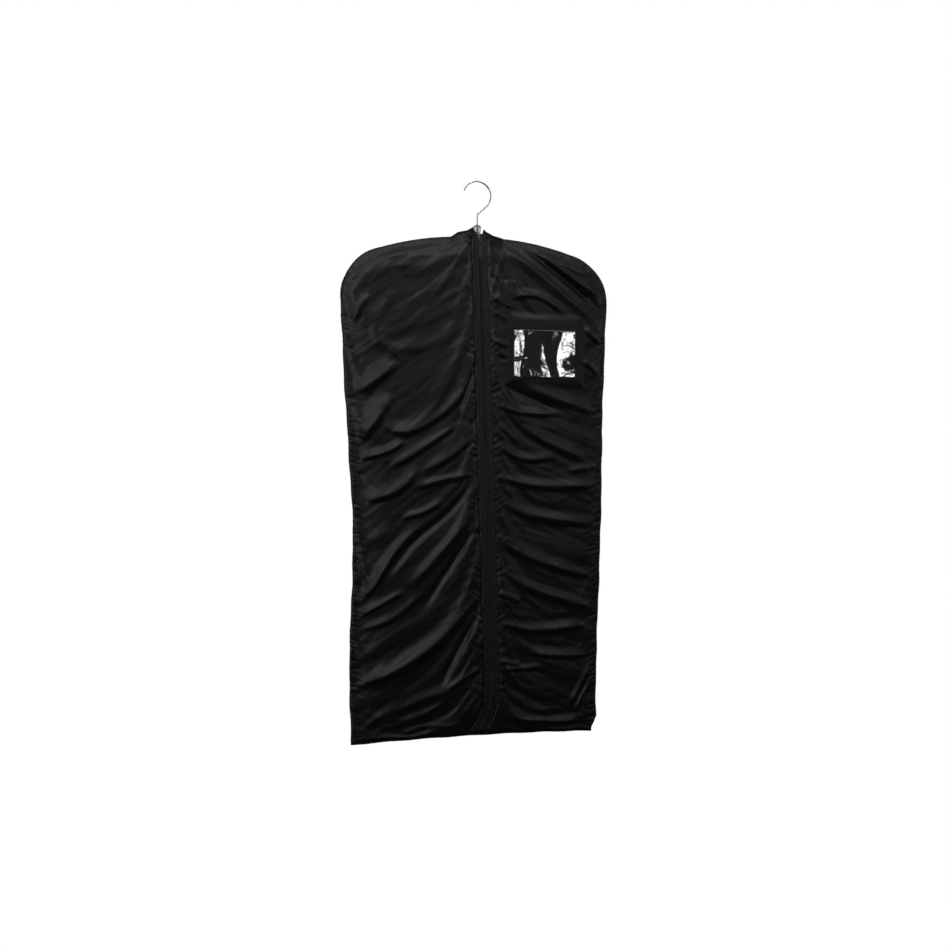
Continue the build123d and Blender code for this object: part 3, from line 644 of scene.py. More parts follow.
def binding_section():
    """Inward distance and depth round the channel, from its front edge to its back edge."""
    front = [(inward, -depth) for inward, depth in U_SECTION]
    back = [(inward, depth) for inward, depth in reversed(U_SECTION[:-1])]
    return np.array(front + back)


def edge_line(points, count):
    """Places and inward directions at even steps along a front-view line."""
    line = resample(points, np.linspace(0, 1, count))
    way = np.gradient(line, axis=0)
    way /= np.linalg.norm(way, axis=1)[:, None]
    return line, way


def value_along(rows, k, column):
    """One column of values along a line, at places k between its points."""
    return np.interp(k, np.arange(len(rows)), rows[:, column])


def binding(name, points, inward_sign, count, seed):
    """Folded tape round a sewn edge, slightly uneven where the gathers push on it."""
    section = binding_section()
    line, way = edge_line(points, count + 1)
    inward = np.stack([-way[:, 1], way[:, 0]], 1) * inward_sign
    uneven = np.array([[noise.noise(Vector((i * 0.35, seed, 0.0))),
                        noise.noise(Vector((i * 0.09, seed, 5.0)))] for i in range(count + 1)])

    def places(u, v):
        s = np.stack([np.interp(u, np.linspace(0, 1, len(section)), section[:, k]) for k in range(2)], 1)
        k = np.clip(v * count, 0, count)
        pushed, swayed = value_along(uneven, k, 0), value_along(uneven, k, 1)
        reach = s[:, 0] + 0.0004 * pushed
        depth = s[:, 1] * (1 + 0.25 * pushed) + 0.0007 * swayed
        x = value_along(line, k, 0) + value_along(inward, k, 0) * reach
        d = value_along(line, k, 1) + value_along(inward, k, 1) * reach
        return hung(x, depth, d)

    piece = strip(name, 2 * len(U_SECTION) - 2, count, places)
    bm = bmesh.new()
    bm.from_mesh(piece.data)
    bm.normal_update()
    outward = 0.0
    for face in bm.faces:
        away = -1 if face.calc_center_median().x < 0 else 1
        outward += (face.normal.x * away - face.normal.z) * face.calc_area()
    if outward < 0:
        bmesh.ops.reverse_faces(bm, faces=bm.faces)
    bm.to_mesh(piece.data)
    bm.free()
    return piece


def binding_stitches(name, points, inward_sign, depth_sign, inset=0.0047):
    line, way = edge_line(points, 300)
    inward = np.stack([-way[:, 1], way[:, 0]], 1) * inward_sign
    x, d = (line + inward * inset).T
    return stitches(name, hung(x, np.full(x.shape, depth_sign * 0.0017), d))


COLLAR_HEM_W = 0.0042
BACK_COLLAR_HEM_W = 0.0045


def collar_hem(side):
    """Narrow turned hem along the V and the collar's top edge on one side."""
    sign = 1.0 if side == "right" else -1.0
    edge = [(sign * x, d) for x, d in reversed(COLLAR[side])]
    edge = [(sign * NOTCH_FOOT, 0.0), *edge]
    line, way = edge_line(edge, 90)
    down = np.stack([-way[:, 1], way[:, 0]], 1) * sign

    def places(u, v):
        k = v * 89
        x = value_along(line, k, 0) + value_along(down, k, 0) * COLLAR_HEM_W * (u - 0.1)
        d = value_along(line, k, 1) + value_along(down, k, 1) * COLLAR_HEM_W * (u - 0.1)
        y = -(front_rise(x, d) + 0.0006 + 0.0005 * np.sin(np.pi * u))
        return np.stack([x, y, TOP_Z - d], 1)

    return strip(f"collar_hem_{side}", 6, 90, places)


def back_collar_hem():
    edge = [(-0.060, 0.0), (-0.028, -0.012), (0.028, -0.012), (0.060, 0.0)]
    line, _ = edge_line(edge, 120)

    def places(u, v):
        k = v * 119
        x = value_along(line, k, 0)
        d = value_along(line, k, 1) + BACK_COLLAR_HEM_W * (u - 0.1)
        y = seam_rise(seam_distance(x, d), BACK_Y - 0.0004, x, d) + 0.0006 + 0.0005 * np.sin(np.pi * u)
        return np.stack([x, y, TOP_Z - d], 1)

    return strip("collar_hem_back", 6, 120, places, (0.0, 1.0, 0.0))


# ---------------------------------------------------------------- card pocket
def pocket_sheet(name, low, high, front, columns, rows, wave):
    """A flat film of the pocket; wave gives how far each place bulges forward."""
    def places(u, v):
        x = low.x + u * (high.x - low.x)
        z = high.z + v * (low.z - high.z)
        return np.stack([x, front - wave(u, v), z], 1)

    return strip(name, columns, rows, places)


def creases(u, v, seed, size):
    """Small dents of creased film, -1 to 1."""
    return np.array([noise.noise(Vector((a * size, b * size, seed))) for a, b in zip(u, v)])


def window_wave(u, v):
    """The window is flat beside both edges and stands out in one upright ridge that leans to the right."""
    ridge_at = 0.42 + 0.14 * v + 0.03 * np.sin(7.0 * v + 1.0)
    left_end = 0.165 + 0.035 * np.sin(5.0 * v + 0.4)
    right_end = 0.73 + 0.06 * np.sin(4.0 * v + 2.2)
    left = np.clip((u - left_end) / (ridge_at - left_end), 0, 1)
    right = np.clip((right_end - u) / (right_end - ridge_at), 0, 1)
    ridge = np.where(u < ridge_at, left, right)
    roundness = 0.01 + 0.16 * smooth_step((v - 0.30) / 0.5)
    ridge = np.sqrt(1.0 + roundness) - np.sqrt((1.0 - ridge) ** 2 + roundness)
    ridge *= 0.30 + 0.70 * np.sin(np.clip(v / 0.42, 0, 1) * np.pi / 2)
    edge = smooth_step(np.minimum(u, 1 - u) / 0.03) * smooth_step((1 - v) / 0.04)
    dents = 0.00025 * creases(u, v, 41.0, 4.0) + 0.00010 * creases(u, v, 43.0, 12.0)
    hole = 0.0012 * np.exp(-(((u - 0.86) / 0.07) ** 2 + ((v - 0.66) / 0.11) ** 2))
    fold = 0.0009 * np.exp(-((v - 0.60 + 0.25 * (u - 0.08)) / 0.025) ** 2) * smooth_step((0.24 - u) / 0.06)
    return (0.0046 * ridge + dents + hole + fold) * edge + 0.0002


def backing_wave(u, v):
    edge = smooth_step(np.minimum(u, 1 - u) / 0.05) * smooth_step(np.minimum(v, 1 - v) / 0.05)
    return 0.0005 * creases(u, v, 47.0, 5.0) * edge


FRAME_W = 0.007


def pocket_frame():
    """The welded edge on three sides of the window: two pressed lines with a soft bead between them."""
    x0, x1, bottom, top = window_low.x, window_high.x, window_low.z, window_high.z
    outer = np.array([(x0, top), (x0, bottom), (x1, bottom), (x1, top)])
    inner = outer + FRAME_W * np.array([(1, 0), (1, 1), (-1, 1), (-1, 0)])
    corners = np.linspace(0, 1, 4)

    def places(u, v):
        a = np.stack([np.interp(v, corners, outer[:, k]) for k in range(2)], 1)
        b = np.stack([np.interp(v, corners, inner[:, k]) for k in range(2)], 1)
        place = a + (b - a) * u[:, None]
        pressed = np.exp(-((u - 0.22) / 0.06) ** 2) + np.exp(-((u - 0.80) / 0.06) ** 2)
        soft = np.sin(np.pi * np.clip(u, 0, 1)) ** 0.5
        uneven = creases(place[:, 0] * 6.0, place[:, 1] * 6.0, 53.0, 14.0)
        forward = 0.0002 + 0.0005 * soft - 0.0003 * pressed + 0.00012 * uneven * soft
        return np.stack([place[:, 0], window_low.y - forward, place[:, 1]], 1)

    return strip("pocket_edge", 16, 360, places)


def pocket_stitches():
    """One row of thread through the middle of the pocket's edge."""
    x0, x1, bottom, top = window_low.x, window_high.x, window_low.z, window_high.z
    inset = FRAME_W / 2
    left, right, foot = x0 + inset, x1 - inset, bottom + inset
    line = [(left, top), (left, foot), (right, foot), (right, top)]
    places = resample(line, np.linspace(0, 1, 400))
    depth = np.full(len(places), window_low.y - 0.0009)
    return stitches("pocket_stitch", np.stack([places[:, 0], depth, places[:, 1]], 1), 0.0024, 0.00020)


def pocket_calm(x, d):
    """0 over the card pocket, which holds the cloth flat, and 1 away from it."""
    outside_x = np.maximum(window_low.x - x, x - window_high.x)
    outside_d = np.maximum((TOP_Z - backing_high.z) - d, d - (TOP_Z - backing_low.z))
    return smooth_step((np.maximum(outside_x, outside_d) + 0.002) / 0.022)


def front_places(side, u, v):
    """Front-view places and depth of one front panel, before it settles: shares u across and v down."""
    sign = 1.0 if side == "right" else -1.0
    zipper, top, seam, hem = half_edges(side)
    place = coons(u, v, zipper, top, seam, hem)
    x, d = place[:, 0], place[:, 1]
    distance = seam_distance(x, d)
    from_hem = BAG_H - d
    from_zip = np.abs(x - zip_place(d / math.cos(LEAN), 0.0)[0])
    from_zip = np.where(d > STRAIGHT, u * HALF_W + TAPE_HALF - TAPE_LAP, from_zip)
    rise = front_rise(x, d)

    folds = fold_height(x, d, LEFT_FOLDS if side == "left" else RIGHT_FOLDS)
    slope = -0.75 if side == "left" else 0.42
    folds += 0.0024 * ripple(x, d, slope, 0.030, 0.16, 3.0 if side == "left" else 7.0)
    folds *= pocket_calm(x, d)
    inside = smooth_step(distance / 0.024) * smooth_step((from_zip - TAPE_HALF + 0.001) / 0.014)
    inside *= smooth_step(from_hem / 0.020)
    tuck = np.exp(-((from_zip - TAPE_HALF - 0.0018) / 0.0028) ** 2) * smooth_step(d / 0.004)
    y = -(rise + folds * inside - 0.0042 * tuck * smooth_step(distance / 0.03))
    return x, y, d, distance, from_zip, sign


def front_puckers(side, x, y, d, distance, from_zip, sign):
    """Adds the small gathers beside the seams to settled places."""
    along_seam = d + 0.35 * np.abs(x)
    pucker = 0.0030 * gathers(distance, along_seam, 11.0 if side == "left" else 13.0, 0.009, 0.014)
    pucker *= smooth_step(distance / 0.004) * smooth_step(d / 0.12)
    from_tape = from_zip - TAPE_HALF
    zip_pucker = 0.0022 * gathers(from_tape, d + 0.5 * from_tape, 17.0, 0.014, 0.016)
    zip_pucker *= smooth_step(from_tape / 0.006) * smooth_step(distance / 0.02)
    slope = -0.75 if side == "left" else 0.42
    fine = 0.0008 * ripple(x, d, slope, 0.011, 0.05, 5.0) * smooth_step(distance / 0.02)
    y = y - pucker - (zip_pucker + fine) * pocket_calm(x, d)
    sag = 0.0016 * gathers(distance, along_seam, 19.0, 0.010, 0.008) * smooth_step(d / 0.1)
    return x + sign * sag * smooth_step(distance / 0.002 - 0.2), y, d


GATHER_DOWN = 1.030  # cut length over sewn length, along the zipper and the side seams
GATHER_ACROSS = 1.006
SETTLE_FRAMES = 26
SETTLE_LIMIT = 0.007


def settle(x, y, d, columns, rows, u, v, shear, outward):
    """Cloth simulation of one panel, sewn at its edges and cut longer than its seams.

    Returns how far each point of the grid moves, as an array of rows, columns and x, y, z.
    """
    bm = bmesh.new()
    bmesh.ops.create_grid(bm, x_segments=columns, y_segments=rows, size=0.5)
    start = np.stack([x, y, TOP_Z - d], 1)
    set_places(bm, start)
    panel = add_object("settling_panel", bm)
    panel.shape_key_add(name="Basis")
    cut = panel.shape_key_add(name="cut")
    for point, (px, py, pz) in zip(cut.data, start):
        point.co = (px * GATHER_ACROSS, py, pz * GATHER_DOWN + shear * px)
    cut.value = 0.0
    sewn = panel.vertex_groups.new(name="sewn")
    edge = (u < 0.004) | (u > 0.996) | (v < 0.002) | (v > 0.998)
    sewn.add([int(i) for i in np.nonzero(edge)[0]], 1.0, "REPLACE")
    cloth = panel.modifiers.new("cloth", "CLOTH")
    cloth.settings.quality = 6
    cloth.settings.mass = 0.05
    cloth.settings.tension_stiffness = 12.0
    cloth.settings.compression_stiffness = 12.0
    cloth.settings.shear_stiffness = 4.0
    cloth.settings.bending_stiffness = 0.02
    cloth.settings.air_damping = 2.0
    cloth.settings.vertex_group_mass = "sewn"
    cloth.settings.rest_shape_key = cut
    cloth.collision_settings.use_collision = False
    cloth.point_cache.frame_start, cloth.point_cache.frame_end = 1, SETTLE_FRAMES
    scene = bpy.context.scene
    for frame_number in range(1, SETTLE_FRAMES + 1):
        scene.frame_set(frame_number)
    settled = panel.evaluated_get(bpy.context.evaluated_depsgraph_get()).to_mesh()
    end = np.array([vert.co[:] for vert in settled.vertices])
    scene.frame_set(1)
    bpy.data.objects.remove(panel)
    move = end - start
    size = np.linalg.norm(move, axis=1)
    move *= (SETTLE_LIMIT * np.tanh(size / SETTLE_LIMIT) / np.maximum(size, 1e-9))[:, None]
    move[:, 1] = np.where(move[:, 1] * outward < 0, move[:, 1] * 0.6, move[:, 1])
    field = np.zeros((rows + 1, columns + 1, 3))
    field[np.rint(v * rows).astype(int), np.rint(u * columns).astype(int)] = move
    return field


def sample_field(field, u, v):
    """Smooth (Catmull-Rom) values of a grid of moves at shares u and v."""
    rows, columns = field.shape[0] - 1, field.shape[1] - 1
    gx, gy = np.clip(u, 0, 1) * columns, np.clip(v, 0, 1) * rows
    ix, iy = np.minimum(gx.astype(int), columns - 1), np.minimum(gy.astype(int), rows - 1)
    total = np.zeros((len(u), field.shape[2]))
    for j, wy in enumerate(spline_weights(gy - iy)):
        for i, wx in enumerate(spline_weights(gx - ix)):
            value = field[np.clip(iy + j - 1, 0, rows), np.clip(ix + i - 1, 0, columns)]
            total += (wx * wy)[:, None] * value
    return total


def spline_weights(t):
    return [(-t + 2 * t**2 - t**3) / 2, (2 - 5 * t**2 + 3 * t**3) / 2,
            (t + 4 * t**2 - 3 * t**3) / 2, (t**3 - t**2) / 2]


def grid_shares(bm):
    flat = np.array([vert.co[:] for vert in bm.verts])
    return flat[:, 0] + 0.5, 0.5 - flat[:, 1]


def settled_moves(places_of, columns, rows, shear, outward):
    bm = bmesh.new()
    bmesh.ops.create_grid(bm, x_segments=columns, y_segments=rows, size=0.5)
    u, v = grid_shares(bm)
    bm.free()
    x, y, d, *_ = places_of(u, v)
    return settle(x, y, d, columns, rows, u, v, shear, outward)


def front_cloth(side):
    """One front panel: gathered cloth from the zipper to the side seam."""
    shear = 0.03 if side == "left" else 0.015
    field = settled_moves(lambda u, v: front_places(side, spread(u, 0.2), v), 54, 212, shear, -1.0)
    bm = bmesh.new()
    bmesh.ops.create_grid(bm, x_segments=108, y_segments=420, size=0.5)
    u, v = grid_shares(bm)
    x, y, d, distance, from_zip, sign = front_places(side, spread(u, 0.2), v)
    if field is not None:
        move = sample_field(field, u, v)
        flat = pocket_calm(x, d)
        x, y, d = x + move[:, 0] * flat, y + move[:, 1] * flat, d - move[:, 2] * flat
    x, y, d = front_puckers(side, x, y, d, distance, from_zip, sign)
    set_places(bm, hung(x, y, d))
    face_towards(bm, Vector((0.0, -1.0, 0.0)))
    return add_object(f"front_cloth_{side}", bm)


def back_places(u, v):
    """Front-view places and depth of the back panel, before it settles."""
    crest = [(0.060, 0.0), (0.028, -0.012)]
    right_top = [*reversed(crest), *SEAM[1:CORNER_SPLIT + 1]]
    top = [(-x, d) for x, d in reversed(right_top)] + right_top
    right = SEAM[CORNER_SPLIT:]
    left = [(-x, d) for x, d in right]
    hem = [(-HEM_CORNER[0], BAG_H), (HEM_CORNER[0], BAG_H)]
    place = coons(u, v, left, top, right, hem)
    x, d = place[:, 0], place[:, 1]
    distance = seam_distance(x, d)
    rise = seam_rise(distance, BACK_Y - 0.0004, x, d) * hem_press(d)
    folds = 0.55 * fold_height(x, d, BACK_FOLDS)
    folds += 0.0030 * ripple(x, d, 0.3, 0.034, 0.18, 23.0) + 0.0022 * ripple(x, d, -0.4, 0.022, 0.12, 27.0)
    folds = folds * smooth_step((BAG_H - d) / 0.020)
    return x, rise + folds * smooth_step(distance / 0.024), d, distance


def back_cloth():
    """The back panel: one gathered sheet from side seam to side seam."""
    field = settled_moves(lambda u, v: back_places(spread(u, 0.5), v), 84, 160, 0.02, 1.0)
    bm = bmesh.new()
    bmesh.ops.create_grid(bm, x_segments=150, y_segments=290, size=0.5)
    u, v = grid_shares(bm)
    x, y, d, distance = back_places(spread(u, 0.5), v)
    if field is not None:
        move = sample_field(field, u, v)
        x, y, d = x + move[:, 0], y + move[:, 1], d - move[:, 2]
    pucker = 0.0034 * gathers(distance, d + 0.3 * np.abs(x), 29.0)
    pucker *= smooth_step(distance / 0.004) * smooth_step(d / 0.12)
    set_places(bm, hung(x, y + pucker, d))
    face_towards(bm, Vector((0.0, 1.0, 0.0)))
    return add_object("back_cloth", bm)


# ---------------------------------------------------------------- material building blocks
def weave_group():
    """Fine plain weave: a height that follows Object coordinates, with slubs."""
    group = bpy.data.node_groups.new("taffeta_weave", "ShaderNodeTree")
    threads = group.interface.new_socket("Threads", in_out="INPUT", socket_type="NodeSocketFloat")
    threads.default_value = 2600.0
    group.interface.new_socket("Height", in_out="OUTPUT", socket_type="NodeSocketFloat")
    group.interface.new_socket("Slub", in_out="OUTPUT", socket_type="NodeSocketFloat")
    tree, links = group.nodes, group.links
    enter, leave = tree.new("NodeGroupInput"), tree.new("NodeGroupOutput")
    place = tree.new("ShaderNodeTexCoord")
    waves = []
    for angle in (0.0, math.pi / 2):
        turn = tree.new("ShaderNodeMapping")
        turn.inputs["Rotation"].default_value = (0.0, angle, 0.0)
        wave = tree.new("ShaderNodeTexWave")
        wave.bands_direction = "X"
        wave.inputs["Distortion"].default_value = 0.6
        wave.inputs["Detail"].default_value = 1.0
        links.new(place.outputs["Object"], turn.inputs["Vector"])
        links.new(turn.outputs["Vector"], wave.inputs["Vector"])
        links.new(enter.outputs["Threads"], wave.inputs["Scale"])
        waves.append(wave)
    both = tree.new("ShaderNodeMath")
    both.operation = "MULTIPLY"
    links.new(waves[0].outputs["Fac"], both.inputs[0])
    links.new(waves[1].outputs["Fac"], both.inputs[1])
    slub = tree.new("ShaderNodeTexNoise")
    slub.inputs["Scale"].default_value = 90.0
    slub.inputs["Detail"].default_value = 3.0
    stretch = tree.new("ShaderNodeMapping")
    stretch.inputs["Scale"].default_value = (1.0, 1.0, 9.0)
    links.new(place.outputs["Object"], stretch.inputs["Vector"])
    links.new(stretch.outputs["Vector"], slub.inputs["Vector"])
    links.new(both.outputs["Value"], leave.inputs["Height"])
    links.new(slub.outputs["Fac"], leave.inputs["Slub"])
    return group


def crumple_group():
    """Soft small dents, for cloth and for soft plastic film."""
    group = bpy.data.node_groups.new("soft_crumple", "ShaderNodeTree")
    group.interface.new_socket("Size", in_out="INPUT", socket_type="NodeSocketFloat").default_value = 40.0
    group.interface.new_socket("Height", in_out="OUTPUT", socket_type="NodeSocketFloat")
    tree, links = group.nodes, group.links
    enter, leave = tree.new("NodeGroupInput"), tree.new("NodeGroupOutput")
    place = tree.new("ShaderNodeTexCoord")
    dents = tree.new("ShaderNodeTexNoise")
    dents.inputs["Detail"].default_value = 4.0
    dents.inputs["Distortion"].default_value = 0.8
    links.new(place.outputs["Object"], dents.inputs["Vector"])
    links.new(enter.outputs["Size"], dents.inputs["Scale"])
    links.new(dents.outputs["Fac"], leave.inputs["Height"])
    return group


def crinkle_group():
    """Thin sharp creases that run along the folds' slope, as silky cloth keeps them."""
    group = bpy.data.node_groups.new("sharp_crinkle", "ShaderNodeTree")
    group.interface.new_socket("Slope", in_out="INPUT", socket_type="NodeSocketVector")
    group.interface.new_socket("Height", in_out="OUTPUT", socket_type="NodeSocketFloat")
    tree, links = group.nodes, group.links
    enter, leave = tree.new("NodeGroupInput"), tree.new("NodeGroupOutput")
    place = tree.new("ShaderNodeTexCoord")
    turn = tree.new("ShaderNodeVectorRotate")
    turn.rotation_type = "EULER_XYZ"
    stretch = tree.new("ShaderNodeMapping")
    stretch.inputs["Scale"].default_value = (0.30, 1.0, 1.0)
    crease = tree.new("ShaderNodeTexNoise")
    crease.noise_type = "RIDGED_MULTIFRACTAL"
    crease.inputs["Scale"].default_value = 30.0
    crease.inputs["Detail"].default_value = 2.5
    crease.inputs["Distortion"].default_value = 0.5
    links.new(place.outputs["Object"], turn.inputs["Vector"])
    links.new(enter.outputs["Slope"], turn.inputs["Rotation"])
    links.new(turn.outputs["Vector"], stretch.inputs["Vector"])
    links.new(stretch.outputs["Vector"], crease.inputs["Vector"])
    links.new(crease.outputs["Fac"], leave.inputs["Height"])
    return group


def new_material(name, color, roughness, metallic=0.0):
    material = bpy.data.materials.new(name)
    material.use_nodes = True
    shader = material.node_tree.nodes["Principled BSDF"]
    shader.inputs["Base Color"].default_value = (*color, 1.0)
    shader.inputs["Roughness"].default_value = roughness
    shader.inputs["Metallic"].default_value = metallic
    return material, shader


def add_group(material, group, **values):
    node = material.node_tree.nodes.new("ShaderNodeGroup")
    node.node_tree = group
    for name, value in values.items():
        node.inputs[name].default_value = value
    return node


def add_bump(material, height, strength, depth, under=None):
    """A Bump node over a height, stacked on the one under it."""
    bump = material.node_tree.nodes.new("ShaderNodeBump")
    bump.inputs["Strength"].default_value = strength
    bump.inputs["Distance"].default_value = depth
    material.node_tree.links.new(height, bump.inputs["Height"])
    if under is not None:
        material.node_tree.links.new(under.outputs["Normal"], bump.inputs["Normal"])
    return bump


def add_range(material, value, low, high):
    """Maps a 0 to 1 value to a range."""
    node = material.node_tree.nodes.new("ShaderNodeMapRange")
    node.inputs["To Min"].default_value = low
    node.inputs["To Max"].default_value = high
    material.node_tree.links.new(value, node.inputs["Value"])
    return node


def silky_cloth(name, color, roughness, weave, crumple, threads=2600.0, crinkle=None, slope=0.0):
    material, shader = new_material(name, color, roughness[0])
    links = material.node_tree.links
    threads_node = add_group(material, weave, Threads=threads)
    dents = add_group(material, crumple, Size=38.0)
    soft = add_bump(material, dents.outputs["Height"], 0.35, 0.002)
    if crinkle is not None:
        creases_node = add_group(material, crinkle, Slope=(0.0, slope, 0.0))
        soft = add_bump(material, creases_node.outputs["Height"], 0.30, 0.0012, soft)
    fine = add_bump(material, threads_node.outputs["Height"], 0.25, 0.0002, soft)
    links.new(fine.outputs["Normal"], shader.inputs["Normal"])
    sheen = add_range(material, threads_node.outputs["Slub"], *roughness)
    links.new(sheen.outputs["Result"], shader.inputs["Roughness"])
    shader.inputs["Specular IOR Level"].default_value = 0.5
    return material


def uneven_roughness(material, shader, scale, low, high):
    """Roughness that varies in fine grains between two values."""
    grain = material.node_tree.nodes.new("ShaderNodeTexNoise")
    grain.inputs["Scale"].default_value = scale
    result = add_range(material, grain.outputs["Fac"], low, high).outputs["Result"]
    material.node_tree.links.new(result, shader.inputs["Roughness"])


def polished_gold():
    material, shader = new_material("polished_gold", (0.98, 0.92, 0.78), 0.2, 1.0)
    uneven_roughness(material, shader, 260.0, 0.16, 0.24)
    return material


def clear_plastic():
    material, shader = new_material("clear_plastic", (0.62, 0.63, 0.65), 0.18)
    shader.inputs["Transmission Weight"].default_value = 0.55
    shader.inputs["IOR"].default_value = 1.49
    flow = material.node_tree.nodes.new("ShaderNodeTexNoise")
    flow.inputs["Scale"].default_value = 60.0
    bump = add_bump(material, flow.outputs["Fac"], 0.25, 0.0008)
    material.node_tree.links.new(bump.outputs["Normal"], shader.inputs["Normal"])
    return material


def black_enamel():
    material, shader = new_material("black_enamel", (0.06, 0.06, 0.064), 0.25, 0.6)
    shader.inputs["Coat Weight"].default_value = 0.4
    shader.inputs["Coat Roughness"].default_value = 0.12
    uneven_roughness(material, shader, 400.0, 0.18, 0.42)
    return material


def clear_vinyl(crumple):
    material, shader = new_material("clear_vinyl", (0.95, 0.96, 0.97), 0.03)
    shader.inputs["Transmission Weight"].default_value = 1.0
    shader.inputs["IOR"].default_value = 1.62
    shader.inputs["Coat Weight"].default_value = 1.0
    shader.inputs["Coat Roughness"].default_value = 0.02
    shader.inputs["Coat IOR"].default_value = 1.6
    dents = add_group(material, crumple, Size=45.0)
    bump = add_bump(material, dents.outputs["Height"], 0.5, 0.0012)
    material.node_tree.links.new(bump.outputs["Normal"], shader.inputs["Normal"])
    material.node_tree.links.new(bump.outputs["Normal"], shader.inputs["Coat Normal"])
    return material


def black_film(name, crumple, emboss=None):
    """Soft dull plastic film, plain or with the small pressed grid of a weld."""
    material, shader = new_material(name, (0.006, 0.006, 0.0065), 0.46)
    shader.inputs["Specular IOR Level"].default_value = 0.35
    dents = add_group(material, crumple, Size=80.0)
    bump = add_bump(material, dents.outputs["Height"], 0.5, 0.001)
    if emboss is not None:
        grid = add_group(material, emboss, Threads=330.0)
        bump = add_bump(material, grid.outputs["Height"], 0.5, 0.0004, bump)
    material.node_tree.links.new(bump.outputs["Normal"], shader.inputs["Normal"])
    return material


def nylon(name, color, roughness):
    material, shader = new_material(name, color, roughness)
    uneven_roughness(material, shader, 900.0, roughness * 0.7, roughness * 1.4)
    return material


# ---------------------------------------------------------------- making it
add_camera()
add_room()
WEAVE, CRUMPLE = weave_group(), crumple_group()
CRINKLE = crinkle_group()
BLACK = (0.0028, 0.0028, 0.0030)
CLOTH = {part: silky_cloth(f"black_taffeta_{part}", BLACK, (0.34, 0.42), WEAVE, CRUMPLE, 2600.0,
                           CRINKLE, slope)
         for part, slope in (("left", -0.65), ("right", 0.40), ("back", 0.2))}
TAPE = silky_cloth("woven_tape", (0.0022, 0.0022, 0.0024), (0.46, 0.58), WEAVE, CRUMPLE, 1500.0)
GOLD = polished_gold()
CLEAR = clear_plastic()
ENAMEL = black_enamel()
VINYL = clear_vinyl(CRUMPLE)
FILM = black_film("black_film", CRUMPLE)
EMBOSSED = black_film("embossed_film", CRUMPLE, WEAVE)
COIL = nylon("black_nylon", (0.010, 0.010, 0.011), 0.30)
THREAD = nylon("black_thread", (0.020, 0.019, 0.018), 0.55)


def repaint(node, material):
    obj = nodes[node]
    obj.data.materials.clear()
    obj.data.materials.append(material)


def ease_edges(obj, width):
    """Rounds the sharp edges of the hanger a little, where its mesh is joined."""
    bevel = obj.modifiers.new("eased", "BEVEL")
    bevel.width = width
    bevel.segments = 2
    bevel.limit_method = "ANGLE"
    bevel.angle_limit = math.radians(40.0)


def dress(obj, material, body, slot_name, *stands_for):
    obj.data.materials.append(material)
    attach(obj, body)
    if stands_for:
        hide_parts(*stands_for)
    return obj


left = dress(front_cloth("left"), CLOTH["left"], "bag", "shell_cloth", "front_panel_left")
right = dress(front_cloth("right"), CLOTH["right"], "bag", "shell_cloth", "front_panel_right")
back = dress(back_cloth(), CLOTH["back"], "bag", "shell_cloth", "back_panel")
for piece in (left, right, back):
    thicken(piece, 0.0004)

dress(bent_wire(), GOLD, "hook", "hook_metal", "hook")
repaint("hook_retainer", GOLD)
repaint("hanger_body", CLEAR)
ease_edges(nodes["hanger_body"], 0.0006)
for node in ("slider_body", "slider_crown", "pull_tab", "zipper_top_stop_left", "zipper_top_stop_right",
             "zipper_bottom_stop"):
    repaint(node, ENAMEL)

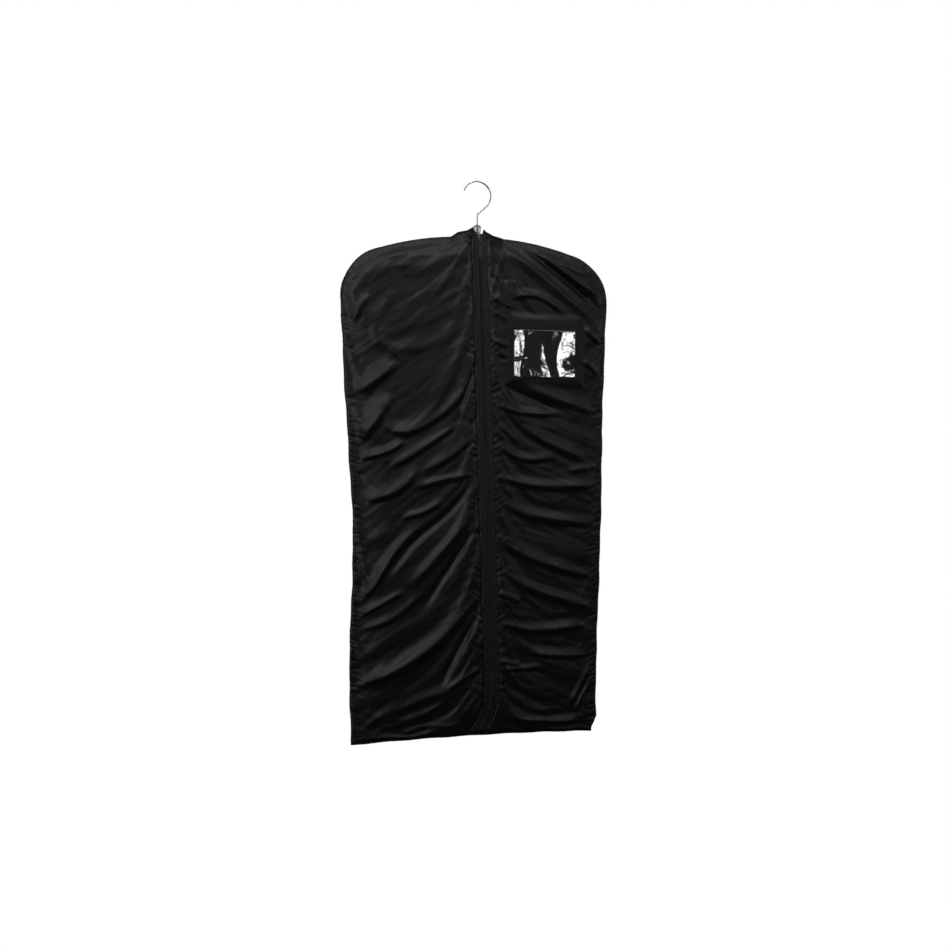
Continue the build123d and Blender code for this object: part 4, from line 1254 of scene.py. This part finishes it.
for side in ("left", "right"):
    sign = 1.0 if side == "right" else -1.0
    tape = dress(zipper_tape(side), TAPE, "bag", "zipper_tape", f"zipper_tape_{side}")
    thicken(tape, 0.0006)
    parts = (("upper", 0.0045, STRAIGHT), ("foot", STRAIGHT, run_at_drop(0.0, HEM_STOP)))
    for part, first, last in parts:
        stands_for = (f"zipper_coil_{side}",) if part == "upper" else ()
        coil = zipper_coil(f"coil_{side}_{part}", side, first, last)
        dress(coil, COIL, "bag", "zipper_coil", *stands_for)
        thread = tape_stitches(f"coil_stitch_{side}_{part}", sign * COIL_STITCH_ACROSS, first, last, 0.0023)
        dress(thread, THREAD, "bag", "zipper_coil")
        if part == "upper":
            for piece in (coil, thread):
                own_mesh(piece)
    row = sign * TAPE_STITCH_ACROSS
    dress(tape_stitches(f"tape_stitch_{side}", row, 0.002, run_at_drop(row, HEM_STOP)), THREAD, "bag",
          "zipper_tape")
    outline = [(sign * x, d) for x, d in SEAM]
    ring = dress(binding(f"binding_{side}", outline, sign, 460, 3.0 + sign), TAPE, "bag", "binding_cloth",
                 f"side_binding_{side}")
    thicken(ring, 0.0005)
    for k, depth_sign in enumerate((-1.0, 1.0)):
        dress(binding_stitches(f"binding_stitch_{side}_{k}", outline, sign, depth_sign), THREAD, "bag",
              "binding_cloth")
    hem = dress(collar_hem(side), TAPE, "bag", "shell_cloth", f"neck_hem_{side}")
    thicken(hem, 0.0005)

hem_line = [(-HEM_CORNER[0], BAG_H), (HEM_CORNER[0], BAG_H)]
hem = dress(binding("binding_hem", hem_line, -1.0, 200, 9.0), TAPE, "bag", "binding_cloth", "hem_binding")
thicken(hem, 0.0005)
for k, depth_sign in enumerate((-1.0, 1.0)):
    dress(binding_stitches(f"hem_stitch_{k}", hem_line, -1.0, depth_sign), THREAD, "bag", "binding_cloth")
hem = dress(back_collar_hem(), TAPE, "bag", "shell_cloth", "neck_hem_back")
thicken(hem, 0.0005)

backing = dress(pocket_sheet("pocket_backing", backing_low, backing_high, backing_high.y - 0.0002, 60, 56,
                             backing_wave), FILM, "bag", "black_vinyl", "card_backing")
window = dress(pocket_sheet("pocket_window", window_low, window_high, window_low.y, 96, 72, window_wave),
               VINYL, "bag", "clear_vinyl", "card_window")
for film, flat in ((backing, (0.155, 0.133)), (window, (0.155, 0.109))):
    thicken(film, 0.0003)
edge = dress(pocket_frame(), EMBOSSED, "bag", "black_vinyl", "card_frame", "card_weld")
thicken(edge, 0.0004)
dress(pocket_stitches(), THREAD, "bag", "black_vinyl")
